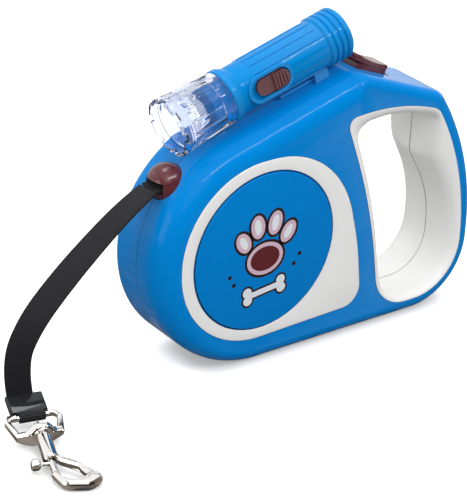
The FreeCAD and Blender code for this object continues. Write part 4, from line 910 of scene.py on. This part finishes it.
def make_side(name, side):
    """The white plate and the blue disc on one side, each a hair smaller than its seat."""
    put = side_of_casing(side)
    rim = rounded_outline(PLATE, 0.8)
    hole = circle_outline(0, 0, HOLE_RADIUS, ROUND_STEPS)
    levels = round_levels(SEAT_FLOOR, PLATE_FACE, 0.3, 4)
    levels = [(inset + FIT, height) for inset, height in levels]
    trim = plate(name + "_plate_skin", [rim, hole], levels, put, white_plastic)
    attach(trim, "root")
    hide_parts(name + "_side_plate")
    disc = plate(
        name + "_disc_skin", [circle_outline(0, 0, DISC_RADIUS, ROUND_STEPS)],
        round_levels(SEAT_FLOOR, DISC_FACE, 0.5, 4), put, disc_plastic,
    )
    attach(disc, "root")
    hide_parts(name + "_side_disc")
    # Painted shade: thin dark rings in the gaps round the plate, the disc and the liner's rim.
    gap_line(name + "_plate_gap", moved_in(rim, -0.02), 0.35, 19.42, side)
    around = circle_outline(0, 0, HOLE_RADIUS + 0.15, ROUND_STEPS)
    gap_line(name + "_disc_gap", around, 0.85, 19.55, side)
    gap_line(name + "_rim_gap", moved_in(rounded_outline(RIM, 1.0), -0.16), 0.5, 19.56, side)


def moved_in(outline, inset):
    """An outline moved into its own middle, or outwards where the inset is negative."""
    turn = 1 if signed_area(outline) > 0 else -1
    return [p + n * inset * turn for p, n in zip(outline, inward(outline))]


def gap_line(name, outline, wide, height, side):
    """Painted shade in the gap round a trim piece: a thin dark ring that lies at a height."""
    levels = [(0.0, height - 0.1), (0.0, height)]
    rims = [outline, moved_in(outline, wide)]
    line = plate(name, rims, levels, side_of_casing(side), dark_seam_and_gap_shade)
    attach(line, "root")


def printed(name, outline, side, lift, material):
    """A printed patch: a very thin layer on the disc."""
    levels = [(0.0, DISC_FACE - 0.04), (0.0, DISC_FACE + lift)]
    patch = plate(name, [outline], levels, side_of_casing(side), material)
    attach(patch, "root")


def turned_about(points, x, y, degrees):
    """Points turned about their own middle, then moved to a place."""
    turn = Matrix.Rotation(math.radians(degrees), 2)
    return [Vector((x, y)) + turn @ p for p in points]


def oval(wide, high, count=40):
    turns = [math.tau * k / count for k in range(count)]
    return [Vector((wide * math.cos(t), high * math.sin(t))) for t in turns]


def bone_outline(reach, grow=0.0):
    """A bone: a straight shaft, and two round knuckles at each end."""
    knuckle, shaft, spread = 2.5 + grow, 1.45 + grow, 2.1
    meet = math.asin(min(1.0, (spread - shaft) / knuckle))
    points = []
    for end in (1, -1):
        for lobe in (-1, 1):
            middle = Vector((reach, lobe * spread))
            inner = math.pi - meet if lobe < 0 else -math.pi + meet
            outer = math.asin(spread / knuckle) if lobe < 0 else -math.asin(spread / knuckle)
            first, last = (inner, outer + math.tau) if lobe < 0 else (outer, math.pi + meet)
            for k in range(0 if lobe < 0 else 1, 17):
                turn = first + (last - first) * k / 16
                points.append((middle + Vector((math.cos(turn), math.sin(turn))) * knuckle) * end)
    return points


def make_print(name, side):
    """The print on a disc: a paw over a bone, with drops beside them, of our own design."""
    pads = [
        (0.0, -3.5, 10.5, 8.4, 0), (-12.6, 7.2, 4.1, 5.9, 30), (-4.9, 13.4, 4.2, 6.3, 9),
        (4.9, 13.4, 4.2, 6.3, -9), (12.6, 7.2, 4.1, 5.9, -30),
    ]
    for i, (x, y, wide, high, turn) in enumerate(pads):
        inner = print_maroon if i == 0 else print_white
        layers = (1.0, LOW_INK, print_black), (-0.3, MIDDLE_INK, print_rose), (-2.3, TOP_INK, inner)
        for grow, lift, material in layers:
            shape = turned_about(oval(wide + grow, high + grow), x, y, turn)
            printed("%s_pad_%d_%d" % (name, i, round(lift * 100)), shape, side, lift, material)
    for grow, lift, material in ((1.0, LOW_INK, print_black), (0.0, MIDDLE_INK, print_white)):
        shape = turned_about(bone_outline(9.5, grow), 0.5, -20.0, 7)
        printed("%s_bone_%d" % (name, round(lift * 100)), shape, side, lift, material)
    drops = (-19.5, -8.5), (-17.0, -13.0), (17.0, -10.5), (20.0, -6.0)
    for i, (x, y) in enumerate(drops):
        drop = circle_outline(x, y, 1.1, 24)
        printed("%s_drop_%d" % (name, i), drop, side, LOW_INK, print_black)


make_side("front", -1)
make_side("rear", 1)
make_print("front_print", -1)
make_print("rear_print", 1)

# ---------------------------------------------------------------- seam
CASING = [
    (-57.2, -57.2, 56.8), (-57.2, 42.8, 56.8), (52.1, 74.97, 14), (103.8, 54.9, 15),
    (127.2, 18.7, 127), (127.2, -57.2, 33),
]


SEAM_HALF = 0.1


def line_along(name, outline, inset, depth, material):
    """A fine line on the casing's middle plane, from an inset to a depth inside an outline."""
    rows = []
    corners = (inset, -SEAM_HALF), (inset, SEAM_HALF), (depth, SEAM_HALF), (depth, -SEAM_HALF)
    for move, y in corners:
        rows.append([from_reel(p.x, y, p.y) for p in moved_in(outline, move)])
    line = dress(name, rows, material)
    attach(line, "root")


line_along("casing_seam", rounded_outline(CASING, 1.0), -0.01, 0.4, dark_seam_and_gap_shade)
line_along("liner_seam", rounded_outline(CREST, 1.0), 0.06, -0.4, liner_shadow)


# ---------------------------------------------------------------- studio
GLOSSY_BACK = 1.15
WORLD_FRONT, WORLD_BACK = 0.72, 1.0
FLOOR_GLOW = 0.58
BACK_GLOW = 0.75
CONTACT_SHADE = 0.55
DIM_SIDE = (0.26, 0.22, 0.195, 1)
DARK_FRONT = (0.035, 0.03, 0.028, 1)
BLACK, WHITE = (0, 0, 0, 1), (1, 1, 1, 1)
SWEEP = (GLOSSY_BACK, GLOSSY_BACK, GLOSSY_BACK, 1)
FLOOR_UNSEEN, FLOOR_SEEN = (0.20, 0.20, 0.20, 1), (0.80, 0.80, 0.80, 1)
FLOOR_MIRRORED = (0.05, 0.045, 0.04, 1)
FLOOR_DARK, FLOOR_PALE = (0.02, 0.016, 0.013, 1), (0.30, 0.26, 0.23, 1)
FLOOR_REACH = 6.0
CONTACT_REACH = 0.010
LAMPS = {
    "key_softbox": ((-0.50, -0.80, 0.80), (0.0, 0.0, 0.09), (0.85, 0.85), 2.3),
    "top_softbox": ((0.15, 0.20, 1.0), (0.0, 0.0, 0.08), (0.6, 0.6), 0.3),
    "left_softbox": ((-0.95, -0.10, 0.25), (-0.02, 0.0, 0.06), (0.4, 0.4), 1.3),
    "strip_softbox": ((0.10, -0.70, 0.80), (0.0, 0.0, 0.09), (1.1, 0.02), 4.8),
}
CARD_SIZE, CARD_AWAY, CARD_WATTS = 0.1, 0.35, 0.22


def path_shares(graph):
    """How much a ray is seen directly or through something clear, and how much it is mirrored."""
    path = graph.add("LightPath")
    through = graph.range(path.outputs["Transmission Depth"], 0.0, 1.0, 0.0, 1.0)
    seen = graph.sum("MAXIMUM", path.outputs["Is Camera Ray"], through)
    unseen = graph.sum("SUBTRACT", 1.0, seen)
    mirrored = graph.sum("MULTIPLY", path.outputs["Is Glossy Ray"], unseen)
    return seen, mirrored


def make_world():
    """White where it is seen; mirrored, it is a bright sweep behind and a dim room in front."""
    world = bpy.data.worlds.new("studio")
    world.use_nodes = True
    bpy.context.scene.world = world
    graph = Graph(world.node_tree)
    background = world.node_tree.nodes["Background"]
    seen, mirrored = path_shares(graph)
    split = graph.add("SeparateXYZ")
    graph.join(graph.add("TexCoord").outputs["Generated"], split, 0)
    bright = graph.range(split.outputs[1], -0.35, 0.35, 0.0, 1.0)
    bright = graph.sum("MAXIMUM", bright, graph.range(split.outputs[2], 0.45, 0.85, 0.0, 1.0))
    dim = graph.mix(graph.range(split.outputs[1], -0.85, -0.45, 0.0, 1.0), DARK_FRONT, DIM_SIDE)
    sweep = graph.mix(bright, dim, SWEEP)
    behind = graph.range(split.outputs[1], -0.2, 0.6, WORLD_FRONT, WORLD_BACK)
    plain = graph.mix(seen, graph.mix(behind, BLACK, WHITE), WHITE)
    graph.join(graph.mix(mirrored, plain, sweep), background, "Color")
    background.inputs["Strength"].default_value = 1.0


def make_floor():
    """A white floor with a painted soft shadow close round the part; mirrored, it is a dim bench
    with painted dark and pale patches.
    """
    material = bpy.data.materials.new("studio_floor")
    material.use_nodes = True
    work = bmesh.new()
    reach = FLOOR_REACH
    corners = (-reach, -reach, 0), (reach, -reach, 0), (reach, reach, 0), (-reach, reach, 0)
    work.faces.new([work.verts.new(corner) for corner in corners])
    floor = finish_piece("studio_floor", work, material)
    graph = Graph(material.node_tree)
    surface = material.node_tree.nodes["Principled BSDF"]
    surface.inputs["Roughness"].default_value = 0.75
    surface.inputs["Specular IOR Level"].default_value = 0.1
    seen, mirrored = path_shares(graph)
    split = graph.add("SeparateXYZ")
    graph.join(graph.add("TexCoord").outputs["Object"], split, 0)
    behind = graph.range(split.outputs[1], 0.15, 0.8, 0.0, 1.0)
    # Seen only in mirrors, the floor near the part shows dark and pale patches: a painted
    # reflection for the metal.
    patches = graph.noise(graph.add("TexCoord").outputs["Object"], 70.0, 2.0)
    near = graph.mix(graph.range(patches, 0.38, 0.62, 0.0, 1.0), FLOOR_DARK, FLOOR_PALE)
    sweep = graph.mix(behind, near, SWEEP)
    lit = graph.mix(seen, FLOOR_UNSEEN, FLOOR_SEEN)
    # Painted contact shadow: the floor's colour and its glow darken where the part is near.
    near_object = graph.add("AmbientOcclusion", samples=8)
    near_object.inputs["Distance"].default_value = CONTACT_REACH
    contact = graph.range(near_object.outputs["AO"], 0.35, 0.95, CONTACT_SHADE, 1.0)
    lit = graph.mix(contact, BLACK, lit)
    graph.join(graph.mix(mirrored, lit, FLOOR_MIRRORED), surface, "Base Color")
    graph.join(graph.mix(mirrored, WHITE, sweep), surface, "Emission Color")
    glow = graph.sum("MULTIPLY", graph.sum("MULTIPLY", seen, contact), FLOOR_GLOW)
    strength = graph.sum("MAXIMUM", glow, mirrored)
    unseen = graph.sum("SUBTRACT", 1.0, graph.sum("MAXIMUM", seen, mirrored))
    from_behind = graph.range(split.outputs[1], 0.02, 0.25, 0.0, BACK_GLOW)
    strength = graph.sum("MAXIMUM", strength, graph.sum("MULTIPLY", unseen, from_behind))
    graph.join(strength, surface, "Emission Strength")


def soft_light(name, at, aim, size, watts):
    """An oblong lamp at a place, turned to what it lights."""
    data = bpy.data.lights.new(name, "AREA")
    data.shape = "RECTANGLE"
    data.size, data.size_y = size
    data.energy = watts
    lamp = bpy.data.objects.new(name, data)
    bpy.context.scene.collection.objects.link(lamp)
    lamp.location = at
    lamp.rotation_euler = (Vector(aim) - Vector(at)).to_track_quat("-Z", "Y").to_euler()
    return lamp


make_world()
make_floor()
for name, (at, aim, size, watts) in LAMPS.items():
    soft_light(name, at, aim, size, watts)


def keeper_card():
    """A lit card that the keeper's lacquer mirrors below a slanting line."""
    start = KEEPER((-6.5, KEEPER_LONG, KEEPER_THICK))
    end = KEEPER((3.0, -4.3, KEEPER_THICK))
    corner = KEEPER((-KEEPER_WIDE, -KEEPER_LONG, KEEPER_THICK))
    face = (KEEPER((0, 0, 1)) - KEEPER((0, 0, 0))).normalized()
    view = (camera.location - start).normalized()
    mirrored = (2 * face * face.dot(view) - view).normalized()
    edge = (end - start).normalized()
    edge = (edge - mirrored * edge.dot(mirrored)).normalized()
    beside = mirrored.cross(edge)
    below = beside * (-1.0 if beside.dot(corner - start) < 0 else 1.0)
    spot = (start + end) / 2 + mirrored * CARD_AWAY + below * CARD_SIZE / 2
    card = soft_light("keeper_card", spot, start, (CARD_SIZE, CARD_SIZE), CARD_WATTS)
    turn = Matrix((edge, beside, mirrored)).transposed().to_4x4()
    turn.translation = spot
    card.matrix_world = turn


keeper_card()

# ---------------------------------------------------------------- casing and inner pieces
FINISHES = [
    (blue_plastic, "front_shell", "rear_shell", "torch_rail"),
    (blue_torch_plastic, "torch_barrel", "torch_tail_cap", "torch_clip"),
    (disc_plastic, "front_side_disc", "rear_side_disc"),
    (white_plastic, "front_side_plate", "rear_side_plate", "front_grip_liner", "rear_grip_liner"),
    (maroon_plastic, "leash_nozzle", "brake_button", "torch_switch"),
    (black_plastic, "brake_carrier", "brake_lever", "reel", "spring_cover"),
    (steel, "reel_axle", "mainspring", "brake_lever_pin", "brake_return_spring", "tail_spring"),
    (steel, "casing_screws", "snap_spring"),
    (brass, "torch_contact"),
    (cell_sleeve, "torch_cell"),
    (mirror_finish, "torch_reflector"),
    (clear_lens, "torch_led", "torch_lens"),
    (clear_plastic, "torch_head"),
    (webbing, "wound_tape", "tape_feed", "leash_tape", "tape_loop"),
    (keeper_plastic, "tape_keeper"),
    (nickel, "snap_swivel_eye", "snap_hook_body", "snap_bolt"),
]

for finish, *names in FINISHES:
    for name in names:
        mesh = frame["nodes"][name].data
        mesh.materials.clear()
        mesh.materials.append(finish)

bpy.context.scene.view_settings.view_transform = "Standard"
bpy.context.view_layer.update()
